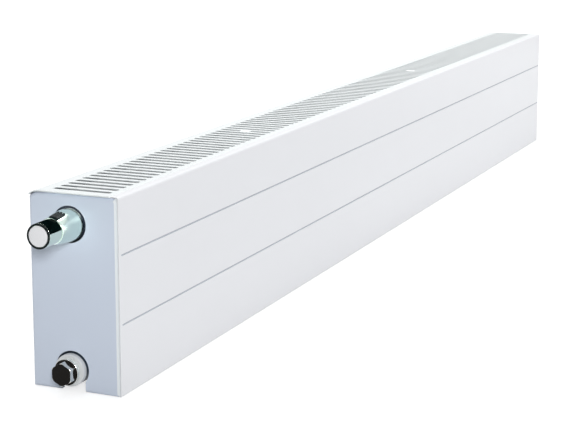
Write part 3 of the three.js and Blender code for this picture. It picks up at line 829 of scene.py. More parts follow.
@cache
def plated_group() -> bpy.types.NodeTree:
    """Makes plated metal: turning marks round the port's axis and smudges of handling.

    Returns:
        The group, which is made once.
    """
    sketch = SurfaceSketch("plated_metal", {
        "Tint": (0.7, 0.7, 0.7, 1.0), "Smudge tint": (0.5, 0.5, 0.5, 1.0),
        "Smudge scale": 60.0, "Smudge amount": 0.3, "Mark scale": 2400.0,
        "Roughness low": 0.05, "Roughness high": 0.12,
    })
    given, where = sketch.given, sketch.where
    smudges = sketch.noise(where, given["Smudge scale"], 4.0)
    amount = sketch.math("MULTIPLY", sketch.band(smudges, 0.0, 1.0), given["Smudge amount"])
    stretch = sketch.add("ShaderNodeMapping", {"Vector": where, "Scale": (1.0, 0.06, 0.06)})
    marks = sketch.noise(stretch.outputs[0], given["Mark scale"])
    return sketch.end(sketch.tint("Smudge tint", amount), sketch.gloss(smudges), marks)


@cache
def moulded_group() -> bpy.types.NodeTree:
    """Makes moulded plastic or rubber: spark-eroded grain with slow drifts of tone.

    Returns:
        The group, which is made once.
    """
    sketch = SurfaceSketch("moulded_grain", {
        "Tint": (0.8, 0.8, 0.8, 1.0), "Drift tint": (0.7, 0.7, 0.7, 1.0),
        "Drift scale": 90.0, "Drift amount": 0.3, "Grain scale": 1800.0,
        "Roughness low": 0.25, "Roughness high": 0.4,
    })
    given, where = sketch.given, sketch.where
    drift = sketch.noise(where, given["Drift scale"], 3.0)
    amount = sketch.math("MULTIPLY", sketch.band(drift, 0.0, 1.0), given["Drift amount"])
    cells = sketch.add("ShaderNodeTexVoronoi", {"Vector": where, "Scale": given["Grain scale"]})
    grain = cells.outputs["Distance"]
    return sketch.end(sketch.tint("Drift tint", amount), sketch.gloss(grain), grain)


def dressed_material(
    name: str,
    group: bpy.types.NodeTree,
    values: dict[str, object],
    relief: Pair,
    plain: dict[str, float],
) -> bpy.types.Material:
    """Builds a material round one of the shared groups.

    Args:
        name: The material's name.
        group: The shader group that varies over the surface.
        values: The group's input values.
        relief: Strength and distance of the bump, the distance in millimetres.
        plain: Values set on the shader's own sockets.

    Returns:
        The material.
    """
    material = bpy.data.materials.new(f"dressed_{name}")
    material.use_nodes = True
    sketch = NodeSketch(material.node_tree)
    shader = material.node_tree.nodes["Principled BSDF"]
    skin = sketch.add("ShaderNodeGroup", node_tree=group)
    for label, value in values.items():
        skin.inputs[label].default_value = value
    strength, distance = relief
    bump = sketch.add("ShaderNodeBump", {
        "Height": skin.outputs["Height"], "Strength": strength, "Distance": distance * MM
    })
    link = material.node_tree.links.new
    link(skin.outputs["Colour"], shader.inputs["Base Color"])
    link(skin.outputs["Roughness"], shader.inputs["Roughness"])
    link(bump.outputs[0], shader.inputs["Normal"])
    for label, value in plain.items():
        shader.inputs[label].default_value = value
    material.diffuse_color = (*values["Tint"][:3], 1.0)
    return material


def scaled(tint: Rgb, share: float) -> Rgba:
    """Gives a tint at a share of its brightness, as a socket colour."""
    return (tint[0] * share, tint[1] * share, tint[2] * share, 1.0)


@dataclass(frozen=True)
class Enamel:
    """Stoved enamel on sheet steel."""

    name: str
    slot: str
    tint: Rgb
    roughness: Pair = (0.26, 0.36)
    cloud: float = 0.35
    peel: float = 0.012

    @cache
    def material(self) -> bpy.types.Material:
        """Builds the enamel.

        Returns:
            The material, which is made once.
        """
        values = {
            "Tint": scaled(self.tint, 1.0),
            "Thin tint": scaled(self.tint, 0.955),
            "Cloud amount": self.cloud,
            "Roughness low": self.roughness[0],
            "Roughness high": self.roughness[1],
        }
        plain = {"IOR": 1.5, "Coat Weight": 0.12, "Coat Roughness": 0.12}
        return dressed_material(self.name, enamel_group(), values, (0.25, self.peel), plain)


@dataclass(frozen=True)
class Plating:
    """Plated or bare metal."""

    name: str
    slot: str
    tint: Rgb
    roughness: Pair = (0.05, 0.1)
    smudge: float = 0.25
    marks: float = 0.004

    @cache
    def material(self) -> bpy.types.Material:
        """Builds the metal.

        Returns:
            The material, which is made once.
        """
        values = {
            "Tint": scaled(self.tint, 1.0),
            "Smudge tint": scaled(self.tint, 0.8),
            "Smudge amount": self.smudge,
            "Roughness low": self.roughness[0],
            "Roughness high": self.roughness[1],
        }
        return dressed_material(
            self.name, plated_group(), values, (0.2, self.marks), {"Metallic": 1.0}
        )


@dataclass(frozen=True)
class Moulding:
    """Moulded plastic or rubber."""

    name: str
    slot: str
    tint: Rgb
    roughness: Pair = (0.2, 0.32)
    drift: float = 0.3
    grain: float = 0.02
    coat: float = 0.0
    shine: float = 0.5

    @cache
    def material(self) -> bpy.types.Material:
        """Builds the plastic.

        Returns:
            The material, which is made once.
        """
        values = {
            "Tint": scaled(self.tint, 1.0),
            "Drift tint": scaled(self.tint, 0.9),
            "Drift amount": self.drift,
            "Roughness low": self.roughness[0],
            "Roughness high": self.roughness[1],
        }
        plain = {
            "IOR": 1.5,
            "Specular IOR Level": self.shine,
            "Coat Weight": self.coat,
            "Coat Roughness": 0.05,
        }
        return dressed_material(self.name, moulded_group(), values, (0.25, self.grain), plain)


Finish = Enamel | Plating | Moulding


@dataclass(frozen=True)
class Finishes:
    """Every finish on the radiator."""

    front: Enamel = Enamel("front_enamel", "front_enamel", (0.82, 0.825, 0.85))
    # Painted shade: the front's white enamel made darker and bluer for the end panels, which face away
    # from the main lamps.
    side: Enamel = Enamel("side_enamel", "side_enamel", (0.7, 0.77, 0.89))
    # Painted highlight: a paler copy of the side enamel for the front bend of the end panels.
    bend_highlight: Enamel = Enamel("painted_bend_highlight", "side_enamel", (0.9, 0.94, 0.96))
    grille: Enamel = Enamel("grille_enamel", "grille_enamel", (0.82, 0.86, 0.865))
    panel: Enamel = Enamel("panel_enamel", "panel_enamel", (0.78, 0.79, 0.8), (0.34, 0.46))
    fin: Enamel = Enamel("fin_enamel", "fin_enamel", (0.74, 0.8, 0.8), (0.4, 0.55), 0.6)
    # Painted shade: near-black navy for inner skins, hole walls and parts inside the port holes, where
    # the shade falls.
    inner: Enamel = Enamel("painted_inner_shade", "panel_enamel", (0.05, 0.07, 0.11), (0.5, 0.6), 0.5)
    # Painted shade: a darker copy of the front enamel for the front grooves and the rear edge of the top.
    crease_shade: Enamel = Enamel("groove_shade", "front_enamel", (0.46, 0.49, 0.54), (0.5, 0.6))
    chrome: Plating = Plating("mirror_chrome", "chrome", (0.78, 0.9, 0.8), (0.03, 0.05))
    satin: Plating = Plating("satin_chrome", "satin_chrome", (0.72, 0.86, 0.8), (0.16, 0.24))
    # The black nickel also stands as a painted dark reflection on the plugs' outward faces.
    nickel: Plating = Plating("black_nickel", "nickel", (0.014, 0.013, 0.012), (0.14, 0.24), 0.5)
    bright: Plating = Plating("bright_nickel", "nickel", (0.7, 0.71, 0.68), (0.06, 0.12))
    brass: Plating = Plating("turned_brass", "brass", (0.72, 0.58, 0.3), (0.22, 0.34))
    steel: Plating = Plating("bright_steel", "spring_steel", (0.6, 0.61, 0.62), (0.2, 0.3))
    black: Moulding = Moulding("black_gloss", "black_gloss", (0.003, 0.009, 0.01), shine=0.12)
    white: Moulding = Moulding("white_plastic", "white_plastic", (0.96, 0.96, 0.97), coat=0.3)
    rubber: Moulding = Moulding("seal_rubber", "seal_rubber", (0.8, 0.86, 0.84), (0.5, 0.65))


def hand_over(obj: bpy.types.Object, finish: Finish, body: str, nodes: Sequence[str]) -> None:
    """Gives a finished piece its material, its body and the nodes that it stands for.

    Args:
        obj: The finished piece.
        finish: Its finish.
        body: The moving or fixed body that carries it.
        nodes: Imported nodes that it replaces.
    """
    if not obj.data.materials:
        obj.data.materials.append(finish.material())
    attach(obj, body)
    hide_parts(*nodes)
    LOG.info("%s: %d faces on %s", obj.name, len(obj.data.polygons), body)


def painted_shade_inside(
    obj: bpy.types.Object, port: Port, finishes: tuple[Finish, Finish], reach: float = SHADE_LINE
) -> None:
    """Paints shade, with a dark enamel, on a piece where it stands inside its port hole.

    Args:
        obj: The piece.
        port: Its port.
        finishes: The finish outside the hole and the dark one that paints shade inside it.
        reach: Distance outward from the end's face at which the outer finish starts.
    """
    for finish in finishes:
        obj.data.materials.append(finish.material())
    outward = port.end.value
    limit = port.body.place(port.body.end_x(port.end) + outward * reach, 0, 0).x
    for face in obj.data.polygons:
        face.material_index = int((face.center.x - limit) * outward < 0)


# ---------------------------------------------------------------------------------------
# Sheets of the body
# ---------------------------------------------------------------------------------------


@dataclass
class FrontCover:
    """Smooth front sheet with pressed grooves and folded edges."""

    body: BodyFrame
    finishes: Finishes
    sheet: float = 1.2
    bend: float = 2.5
    folded: float = 8.6
    groove_heights: tuple[float, ...] = (72.5, 142.0)
    groove_half: float = 1.1
    groove_lip: float = 0.2
    groove_wall: float = 0.85
    groove_floor: float = 0.5
    groove_depth: float = 0.8
    groove_end: float = 4.7
    side_room: float = 8.7
    run_out: float = 0.8
    edge: float = 0.22

    def lines(self, outer: float, inner: float) -> list[Pair]:
        """Draws the closed section in y and z.

        Args:
            outer: Depth of the groove in the outer skin.
            inner: Height of the bead on the inner skin.

        Returns:
            The section's outline.
        """
        height, bend = self.body.height, self.bend
        path = rounded(
            [(self.folded, 0, 0), (0, 0, bend), (0, height, bend), (self.folded, height, 0)]
        )
        half = len(path) // 2
        back = shifted(path, -self.sheet)
        wall = (
            (self.groove_half + self.groove_lip, 0.0), (self.groove_half, 0.12),
            (self.groove_wall, 0.6), (self.groove_floor, 1.0),
        )
        offsets = [*((-z, share) for z, share in wall), *wall[::-1]]
        face, rear = [], []
        for middle in self.groove_heights:
            face += [(outer * share, middle + z) for z, share in offsets]
            rear += [(self.sheet + inner * share, middle + z) for z, share in offsets]
        front = [*path[:half], *face, *path[half:]]
        behind = [*back[:half], *rear, *back[half:]]
        return [*front, *behind[::-1]]

    def build(self) -> None:
        """Builds the cover and hands it over."""
        length, depth = self.body.length, self.groove_depth
        marks = [
            (0.0, 0.0, 0.0),
            (self.groove_end, 0.0, 0.0),
            (self.groove_end + self.run_out, depth, 0.0),
            (self.side_room, depth, 0.0),
            (self.side_room + self.run_out, depth, depth),
        ]
        marks += [(length - x, outer, inner) for x, outer, inner in reversed(marks)]
        work = Workpiece(self.body)
        work.loft([[(x, y, z) for y, z in self.lines(o, i)] for x, o, i in marks])
        cover = work.plain("front_cover_sheet")
        far, high = self.folded + OVERSHOOT, self.bend + self.sheet
        cut(cover, [
            box_between(self.body, (start, self.sheet, -OVERSHOOT), (end, far, high))
            for start, end in self.body.end_rooms(self.side_room)
        ])
        softened(cover, self.edge, limit=50)
        self.shade(cover)
        hand_over(cover, self.finishes.front, "radiator", ["front_cover"])

    def shade(self, cover: bpy.types.Object) -> None:
        """Paints shade into the grooves with the darker groove enamel.

        Args:
            cover: The finished cover.
        """
        cover.data.materials.append(self.finishes.front.material())
        cover.data.materials.append(self.finishes.crease_shade.material())
        front = self.body.place(0, self.groove_depth * 0.4, 0).y
        behind = self.body.place(0, self.sheet * 0.9, 0).y
        half = self.groove_wall * MM
        for face in cover.data.polygons:
            y, z = face.center.y, face.center.z
            sunk = front < y < behind and face.normal.y < 0
            near = any(abs(z - middle * MM) < half for middle in self.groove_heights)
            face.material_index = int(sunk and near)


@dataclass
class TopGrille:
    """Slotted top sheet with a folded front edge and a sloping rear edge."""

    body: BodyFrame
    finishes: Finishes
    sheet: float = 1.2
    front: float = 9.3
    flange: float = 15.7
    bend: float = 1.6
    pitch: float = 14.1
    slot_width: float = 7.5
    slot_near: float = 16.6
    slot_far: float = 81.4
    slot_margin: float = 1.2
    slot_corner: float = 2.8
    slot_land: float = 0.7
    slot_flare: float = 0.4
    slot_lip: tuple[Pair, ...] = ((0.45, 0.0), (0.16, 0.06), (0.0, 0.28))
    end_margin: float = 12.0
    hem: float = 11.0
    hem_room: float = 0.4
    rim_shade_band: float = 6.0
    side_room: float = 8.7

    def first_slot(self) -> tuple[float, int]:
        """Spreads the slots over the length.

        Returns:
            The first slot's middle and the number of slots.
        """
        usable = self.body.length - 2 * self.end_margin - self.slot_width
        count = math.floor(usable / self.pitch) + 1
        return self.body.length / 2 - (count - 1) * self.pitch / 2, count

    def edges(self) -> tuple[list[Pair], list[Pair]]:
        """Draws the outer surface in y and z.

        Returns:
            Its lines before and behind the slotted flat.
        """
        height, depth = self.body.height, self.body.depth
        near = rounded(
            [(self.front, height - self.flange, 0), (self.front, height, self.bend),
             (self.slot_near - self.slot_margin, height, 0)]
        )
        hem = (depth, height - self.body.shoulder_drop - self.hem)
        return near, [(self.slot_far + self.slot_margin, height), *self.body.shoulder(8), hem]

    def slot_ring(self, grow: float) -> list[Pair]:
        """Draws one slot's outline.

        Args:
            grow: How far it is grown.

        Returns:
            Its points in x and y.
        """
        half = self.slot_width / 2 + grow
        near, far = self.slot_near - grow, self.slot_far + grow
        radius = self.slot_corner + grow
        corners = [(-half, near), (half, near), (half, far), (-half, far)]
        return rounded([(x, y, radius) for x, y in corners], closed=True, steps=5)

    def strip(self, work: Workpiece, path: Sequence[Pair], xs: Pair) -> None:
        """Adds both skins of a strip of sheet between two x stations.

        Args:
            work: The mesh being made.
            path: The outer skin's line in y and z.
            xs: The two stations.
        """
        under = shifted(path, -self.sheet)
        for line in (path, under):
            rings = [work.ring([(x, y, z) for y, z in line]) for x in xs]
            work.bridge(rings[0], rings[1], closed=False)

    def edge(self, work: Workpiece, point: Pair, inner: Pair, xs: Pair) -> None:
        """Closes a free edge of the sheet between its two skins.

        Args:
            work: The mesh being made.
            point: The outer skin's last point in y and z.
            inner: The inner skin's last point.
            xs: The two x stations of the strip.
        """
        rings = [work.ring([(x, *point), (x, *inner)]) for x in xs]
        work.bridge(rings[0], rings[1], closed=False)

    def tile(self, x: float) -> bpy.types.Object:
        """Builds one pitch of the sheet with its slot.

        Args:
            x: The slot's middle.

        Returns:
            The pitch as an open mesh.
        """
        work = Workpiece(self.body)
        near, far = self.edges()
        height = self.body.height
        xs = (x - self.pitch / 2, x + self.pitch / 2)
        for path in (near, far):
            self.strip(work, path, xs)
        self.edge(work, near[0], shifted(near, -self.sheet)[0], xs)
        self.edge(work, far[-1], shifted(far, -self.sheet)[-1], xs)
        flat = (near[-1][0], far[0][0])
        walls = (*self.slot_lip, (0.0, self.slot_land), (self.slot_flare, self.sheet))
        levels = [[(x + a, b, height - drop) for a, b in self.slot_ring(grow)]
                  for grow, drop in walls]
        rings = [work.ring(points) for points in levels]
        for first, second in zip(rings, rings[1:]):
            work.bridge(first, second)
        self.plate(work, rings[0], levels[0], x, flat)
        self.plate(work, rings[-1], levels[-1], x, flat)
        return work.plain("grille_pitch")

    def plate(
        self,
        work: Workpiece,
        ring: Sequence[bmesh.types.BMVert],
        points: Sequence[Point],
        x: float,
        flat: Pair,
    ) -> None:
        """Fills the flat between a slot's ring and the border of its pitch.

        Args:
            work: The mesh being made.
            ring: The slot's vertices.
            points: Their body points.
            x: The slot's middle.
            flat: Lowest and highest y of the flat.
        """
        count, z = len(ring), points[0][2]
        sides = (x - self.pitch / 2, x + self.pitch / 2)
        edge = work.ring([(sides[px > x], py, z) for px, py, _ in points])
        for k in range(count):
            j = (k + 1) % count
            if (points[k][0] < x) == (points[j][0] < x):
                work.face((ring[k], ring[j], edge[j], edge[k]))
        for y, pick in zip(flat, (min, max)):
            end = pick(p[1] for p in points)
            row = [k for k in range(count) if abs(points[k][1] - end) < WELD_DISTANCE]
            left, right = sorted(row, key=lambda k: points[k][0])
            corners = work.ring([(sides[1], y, z), (sides[0], y, z)])
            work.face((ring[left], ring[right], edge[right], *corners, edge[left]))

    def end_strip(self, work: Workpiece, low: float, high: float, outer: float) -> None:
        """Adds the plain sheet between an end and the nearest slot's pitch.

        Args:
            work: The mesh being made.
            low: The strip's lower x.
            high: Its higher x.
            outer: The one of them that is the sheet's end.
        """
        near, far = self.edges()
        path = [*near, *far]
        self.strip(work, path, (low, high))
        under = shifted(path, -self.sheet)
        self.edge(work, path[0], under[0], (low, high))
        self.edge(work, path[-1], under[-1], (low, high))
        cap = work.ring([(outer, y, z) for y, z in [*path, *under[::-1]]])
        work.face(cap)

    def build(self) -> None:
        """Builds the grille and hands it over."""
        first, count = self.first_slot()
        material = self.finishes.grille.material()
        row = run_tree(
            self.tile(first),
            repeat_tree(),
            {"Count": count, "Pitch": self.pitch * MM, "Weld": WELD_DISTANCE, "Material": material},
        )
        work = Workpiece(self.body)
        work.bm.from_mesh(row.data)
        bpy.data.objects.remove(row, do_unlink=True)
        start = first - self.pitch / 2
        self.end_strip(work, 0.0, start, 0.0)
        stop = start + count * self.pitch
        self.end_strip(work, stop, self.body.length, self.body.length)
        bmesh.ops.remove_doubles(work.bm, verts=work.bm.verts, dist=2 * WELD_DISTANCE)
        grille = work.plain("slotted_grille")
        cut(grille, self.end_tools())
        softened(grille, 0.0)
        self.shade(grille)
        hand_over(grille, self.finishes.grille, "radiator", ["top_grille"])

    def end_tools(self) -> list[bpy.types.Object]:
        """Builds the boxes that cut the folds away over the side panels.

        Returns:
            The boxes, two for each end.
        """
        top, rear = self.body.height, self.body.depth
        edge = top - self.body.shoulder_drop
        front, fold = self.front - OVERSHOOT, self.front + self.bend + self.sheet
        tools = []
        for low, high in self.body.end_rooms(self.side_room):
            tools.append(box_between(
                self.body, (low, front, top - self.flange - OVERSHOOT), (high, fold, top - self.sheet)
            ))
            tools.append(box_between(
                self.body, (low, rear - 2, edge - self.hem - OVERSHOOT),
                (high, rear + OVERSHOOT, edge - self.hem_room),
            ))
        return tools

    def shade(self, grille: bpy.types.Object) -> None:
        """Paints shade on the rear fold's inner skin with the dark inner enamel and along the rear edge
        with the groove's shade enamel.

        Args:
            grille: The finished grille.
        """
        for finish in (self.finishes.grille, self.finishes.inner, self.finishes.crease_shade):
            grille.data.materials.append(finish.material())
        behind = self.body.place(0, self.slot_far + 2, 0).y
        rim = self.body.place(0, self.body.depth - self.rim_shade_band, 0).y
        for face in grille.data.polygons:
            y, normal = face.center.y, face.normal
            # Painted shade: the dark inner enamel behind the slots and a grey strip along the rear edge.
            inner = y > behind and (normal.z < -0.2 or normal.y < -0.2)
            rim_shaded = y > rim and normal.z > 0.1
            face.material_index = 1 if inner else 2 if rim_shaded else 0


@dataclass
class SidePan:
    """Pressed end panel with rounded edges, two port holes and the slot for a pipe."""

    body: BodyFrame
    finishes: Finishes
    end: End
    sheet: float = 1.2
    bend: float = 4.0
    reach: float = 8.4
    pipe_slot: float = 28.6
    front_corner: float = 2.5
    cover_sheet: float = 1.2
    rear_drop: float = 0.6
    tool_reach: Pair = (-12.0, 2.0)
    edge: float = 0.25
    steps: int = 7

    def outline(self) -> list[Pair]:
        """Draws the panel's outer edge under the cover's bend and the grille.

        Returns:
            Its points in y and z.
        """
        front = self.cover_sheet + SEAT_GAP
        top = self.body.height - self.sheet - SEAT_GAP
        depth = self.body.depth
        slope = shifted(self.body.shoulder(6)[::-1], self.sheet + SEAT_GAP)
        slope[0] = (depth, slope[0][1] - self.rear_drop)
        return [
            (front, 0.0), (depth, 0.0), *slope,
            (front + self.front_corner, top), (front, top - self.front_corner - self.cover_sheet),
        ]

    def section(self, inset: float, x: float) -> list[Point]:
        """Places the outline at a depth behind the end's outer face.

        Args:
            inset: How far the outline moves inward.
            x: The depth.

        Returns:
            The section's points.
        """
        face = self.body.end_x(self.end) - self.end.value * x
        return [(face, y, z) for y, z in shifted(self.outline(), inset, closed=True)]

    def bent(self, sheet: float) -> list[list[Point]]:
        """Draws one skin's bend.

        Args:
            sheet: How far the skin lies inside the outer one.

        Returns:
            Its sections from the end's face inward.
        """
        radius = self.bend - sheet
        angles = (math.pi / 2 * step / self.steps for step in range(self.steps + 1))
        return [
            self.section(sheet + radius * (1 - math.sin(a)), sheet + radius * (1 - math.cos(a)))
            for a in angles
        ]

    def shell(self) -> bpy.types.Object:
        """Builds the pan as one closed sheet.

        Returns:
            The pan without its holes.
        """
        work = Workpiece(self.body)
        rim = [self.section(0.0, self.reach), self.section(self.sheet, self.reach)]
        work.loft([*self.bent(0.0), *rim, *self.bent(self.sheet)[::-1]])
        return work.plain(f"{self.end.name.lower()}_side_pan")

    def tools(self) -> list[bpy.types.Object]:
        """Builds the shapes that cut the port holes and the pipe slot.

        Returns:
            Both holes and the slot.
        """
        body, hole = self.body, self.body.port_hole
        low, high = self.tool_reach
        profile = [(0, low), (hole, low), (hole, high), (0, high)]
        made = []
        for height in (body.lower_port, body.upper_port):
            made.append(turning(body, profile, Port(body, self.end, height).at, 72))
        face, half = body.end_x(self.end), self.pipe_slot / 2
        near, far = sorted(face + self.end.value * reach for reach in self.tool_reach)
        middle = body.port_depth
        slot = ((near, middle - half, -2), (far, middle + half, body.lower_port))
        made.append(box_between(body, *slot))
        return made

    def build(self) -> None:
        """Builds the panel and hands it over."""
        pan = cut(self.shell(), self.tools())
        softened(pan, self.edge, limit=55)
        self.shade(pan)
        name = f"{self.end.name.lower()}_side_panel"
        hand_over(pan, self.finishes.side, "radiator", [name])

    def shade(self, pan: bpy.types.Object) -> None:
        """Paints shade on the inner skin and the hole walls with the dark inner enamel, and a highlight
        on the front bend with the paler bend enamel.

        Args:
            pan: The finished panel.
        """
        for finish in (self.finishes.side, self.finishes.inner, self.finishes.bend_highlight):
            pan.data.materials.append(finish.material())
        bend = self.body.place(0, self.cover_sheet + self.bend + 0.5, 0).y
        outward = self.end.value
        for face in pan.data.polygons:
            lean = face.normal.x * outward
            wall = False
            for height in (self.body.lower_port, self.body.upper_port):
                middle = self.body.place(self.body.end_x(self.end), self.body.port_depth, height)
                reach = Vector((face.center.y - middle.y, face.center.z - middle.z)).length
                wall = wall or (abs(lean) < 0.3 and reach < (self.body.port_hole + 0.1) * MM)
            # Painted highlight on the front bend; painted shade on the inner skin and the hole walls.
            highlit_bend = face.center.y < bend and lean > -0.1 and face.normal.y < -0.12
            face.material_index = 1 if lean < -0.5 or wall else 2 if highlit_bend else 0


# ---------------------------------------------------------------------------------------
# Water panels, fins and tees
# ---------------------------------------------------------------------------------------


@dataclass
class WaterPanel:
    """Seam-welded water panel: a flat sheet with a channelled sheet on its rear side."""

    body: BodyFrame
    finishes: Finishes
    name: str
    face: float
    start: float = 9.0
    bottom: float = 2.0
    top: float = 190.0
    seam: float = 2.5
    bulge: float = 8.2
    pitch: float = 100.0 / 3.0
    foot: float = 22.0
    crest: float = 13.0
    header_height: float = 30.0
    header_slope: float = 3.4
    seam_width: float = 6.0
    end_margin: float = 22.0
    columns_per_pitch: int = 14
    rows: int = 46

    def channels(self) -> tuple[float, int]:
        """Spreads the upright channels over the length.

        Returns:
            The first channel's middle and the number of channels.
        """
        usable = self.body.length - 2 * (self.start + self.seam_width + self.end_margin)
        count = math.floor(usable / self.pitch) + 1
        return self.body.length / 2 - (count - 1) * self.pitch / 2, count

    def blank(self) -> bpy.types.Object:
        """Builds the flat grid that the relief is pressed into.

        Returns:
            The grid.
        """
        work = Workpiece(self.body)
        low, high = self.start, self.body.length - self.start
        columns = round((high - low) / self.pitch * self.columns_per_pitch)
        y = self.face + self.seam
        rings = []
        for row in range(self.rows + 1):
            z = self.bottom + (self.top - self.bottom) * row / self.rows
            line = ((low + (high - low) * k / columns, y, z) for k in range(columns + 1))
            rings.append(work.ring(line))
        for first, second in zip(rings, rings[1:]):
            work.bridge(first, second, closed=False)
        return work.plain(self.name)

    def build(self) -> None:
        """Builds the panel and hands it over."""
        first, count = self.channels()
        at_x = self.body.place(first, 0, 0).x
        last_x = self.body.place(first + (count - 1) * self.pitch, 0, 0).x
        low = self.body.place(self.start + self.seam_width, 0, 0).x
        far = self.body.place(self.body.length - self.start - self.seam_width, 0, 0).x
        sheet = run_tree(
            self.blank(),
            relief_tree(),
            {
                "Pitch": self.pitch * MM, "Foot": self.foot * MM, "Crest": self.crest * MM,
                "Bulge": self.bulge * MM, "Low header": self.body.lower_port * MM,
                "High header": self.body.upper_port * MM,
                "Header height": self.header_height * MM,
                "Header slope": self.header_slope * MM, "First channel": at_x,
                "Last channel": last_x, "End": low, "Far end": far,
                "Material": self.finishes.panel.material(),
            },
        )
        self.back(sheet)
        softened(sheet, 0.0)
        hand_over(sheet, self.finishes.panel, "radiator", [self.name.replace("_sheet", "_panel")])

    def back(self, sheet: bpy.types.Object) -> None:
        """Closes the pressed sheet with its seam and the flat sheet behind it.

        Args:
            sheet: The pressed sheet.
        """
        bm = bmesh.new()
        bm.from_mesh(sheet.data)
        rim = [edge for edge in bm.edges if edge.is_boundary]
        flat = self.body.place(0, self.face, 0).y
        behind = {}
        for vertex in (v for edge in rim for v in edge.verts):
            if vertex not in behind:
                behind[vertex] = bm.verts.new((vertex.co.x, flat, vertex.co.z))
        for edge in rim:
            first, second = edge.verts
            skirt = (first, second, behind[second], behind[first])
            bm.faces.new(skirt, edge.link_faces[0])
        edges = [edge for edge in bm.edges if edge.is_boundary]
        bmesh.ops.contextual_create(bm, geom=edges)
        bmesh.ops.recalc_face_normals(bm, faces=bm.faces)
        bm.to_mesh(sheet.data)
        bm.free()


@dataclass
class Fins:
    """Folded convector sheet welded on one side of a water panel."""

    body: BodyFrame
    finishes: Finishes
    name: str
    root_face: float
    side: int
    sheet: float = 0.8
    depth: float = 33.55
    root: float = 11.0
    lean: float = 1.5
    corner: float = 1.7
    low: float = 12.0
    high: float = 170.0
    pitch: float = 100.0 / 3.0
    first: float = 50.0
    count: int = 46

    def fold(self, x: float, corners: Sequence[Corner]) -> bpy.types.Object:
        """Builds one stretch of the folded sheet.

        Args:
            x: The middle of the stretch.
            corners: Its bend line, in x from that middle and y.

        Returns:
            The stretch.
        """
        path = rounded([(x + a, b, r) for a, b, r in corners])
        sheet = self.side * self.sheet
        work = Workpiece(self.body)
        ring = [*path, *shifted(path, sheet)[::-1]]
        work.loft([[(a, b, z) for a, b in ring] for z in (self.low, self.high)])
        return work.plain(self.name)

    def build(self) -> None:
        """Builds the folds and hands them over."""
        half, tip = self.root / 2, self.root_face + self.side * self.depth
        foot, top = half + self.lean, self.root_face
        cup = [(-foot, tip, 0), (-half, top, self.corner), (half, top, self.corner), (foot, tip, 0)]
        material = self.finishes.fin.material()
        values = {"Pitch": self.pitch * MM, "Weld": WELD_DISTANCE, "Material": material}
        folds = run_tree(self.fold(self.first, cup), repeat_tree(), {**values, "Count": self.count})
        bridge = [(foot, tip, 0), (self.pitch - foot, tip, 0)]
        tips = run_tree(
            self.fold(self.first, bridge), repeat_tree(), {**values, "Count": self.count - 1}
        )
        cut(folds, [tips], "UNION")
        softened(folds, 0.0)
        hand_over(folds, self.finishes.fin, "radiator", [self.name.replace("_fins", "_convector")])


@dataclass
class Tee:
    """Cross tube between the water panels with its boss out to a port."""

    port: Port
    finishes: Finishes
    node: str
    boss_end: float = 6.0
    bore_depth: float = 18.0
    inset: float = 26.0
    tube: float = 13.5
    boss: float = 16.3
    boss_overlap: float = 2.0
    boss_round: float = 3.0
    bore: float = 9.5
    bore_chamfer: float = 0.6
    front: float = 13.3
    rear: float = 84.0
    edge: float = 0.7

    def build(self) -> None:
        """Builds the tee and hands it over."""
        port, body = self.port, self.port.body
        centre = body.end_x(port.end) - port.end.value * self.inset

        def across(radius: float, angle: float, reach: float) -> Point:
            """Gives a point round the cross tube, whose reach runs along y."""
            return (centre + radius * math.cos(angle), reach, port.height + radius * math.sin(angle))

        tube = [(0, self.front), (self.tube, self.front), (self.tube, self.rear), (0, self.rear)]
        work = turning(body, tube, across, 56, f"{self.node}_casting")
        inner, end = -self.inset - self.tube - self.boss_overlap, self.boss_end
        boss = rounded(
            [(0, inner, 0), (self.boss, inner, self.boss_round), (self.boss, min(SHADE_LINE, end - 2), 0),
             (self.boss, end, self.edge), (0, end, 0)],
            steps=4,
        )
        cut(work, [turning(body, boss, port.at, 72)], "UNION")
        low, mouth, beyond = -self.bore_depth, self.bore + self.bore_chamfer, end + OVERSHOOT
        bore = [
            (0, low), (self.bore, low), (self.bore, end - self.bore_chamfer), (mouth, end),
            (mouth, beyond), (0, beyond),
        ]
        cut(work, [turning(body, bore, port.at, 72)])
        softened(work, 0.0)
        # Painted shade on the part of the tee inside the port hole.
        painted_shade_inside(work, self.port, (self.finishes.panel, self.finishes.inner))
        hand_over(work, self.finishes.panel, "radiator", [self.node])


# ---------------------------------------------------------------------------------------
# Thermostatic head
# ---------------------------------------------------------------------------------------


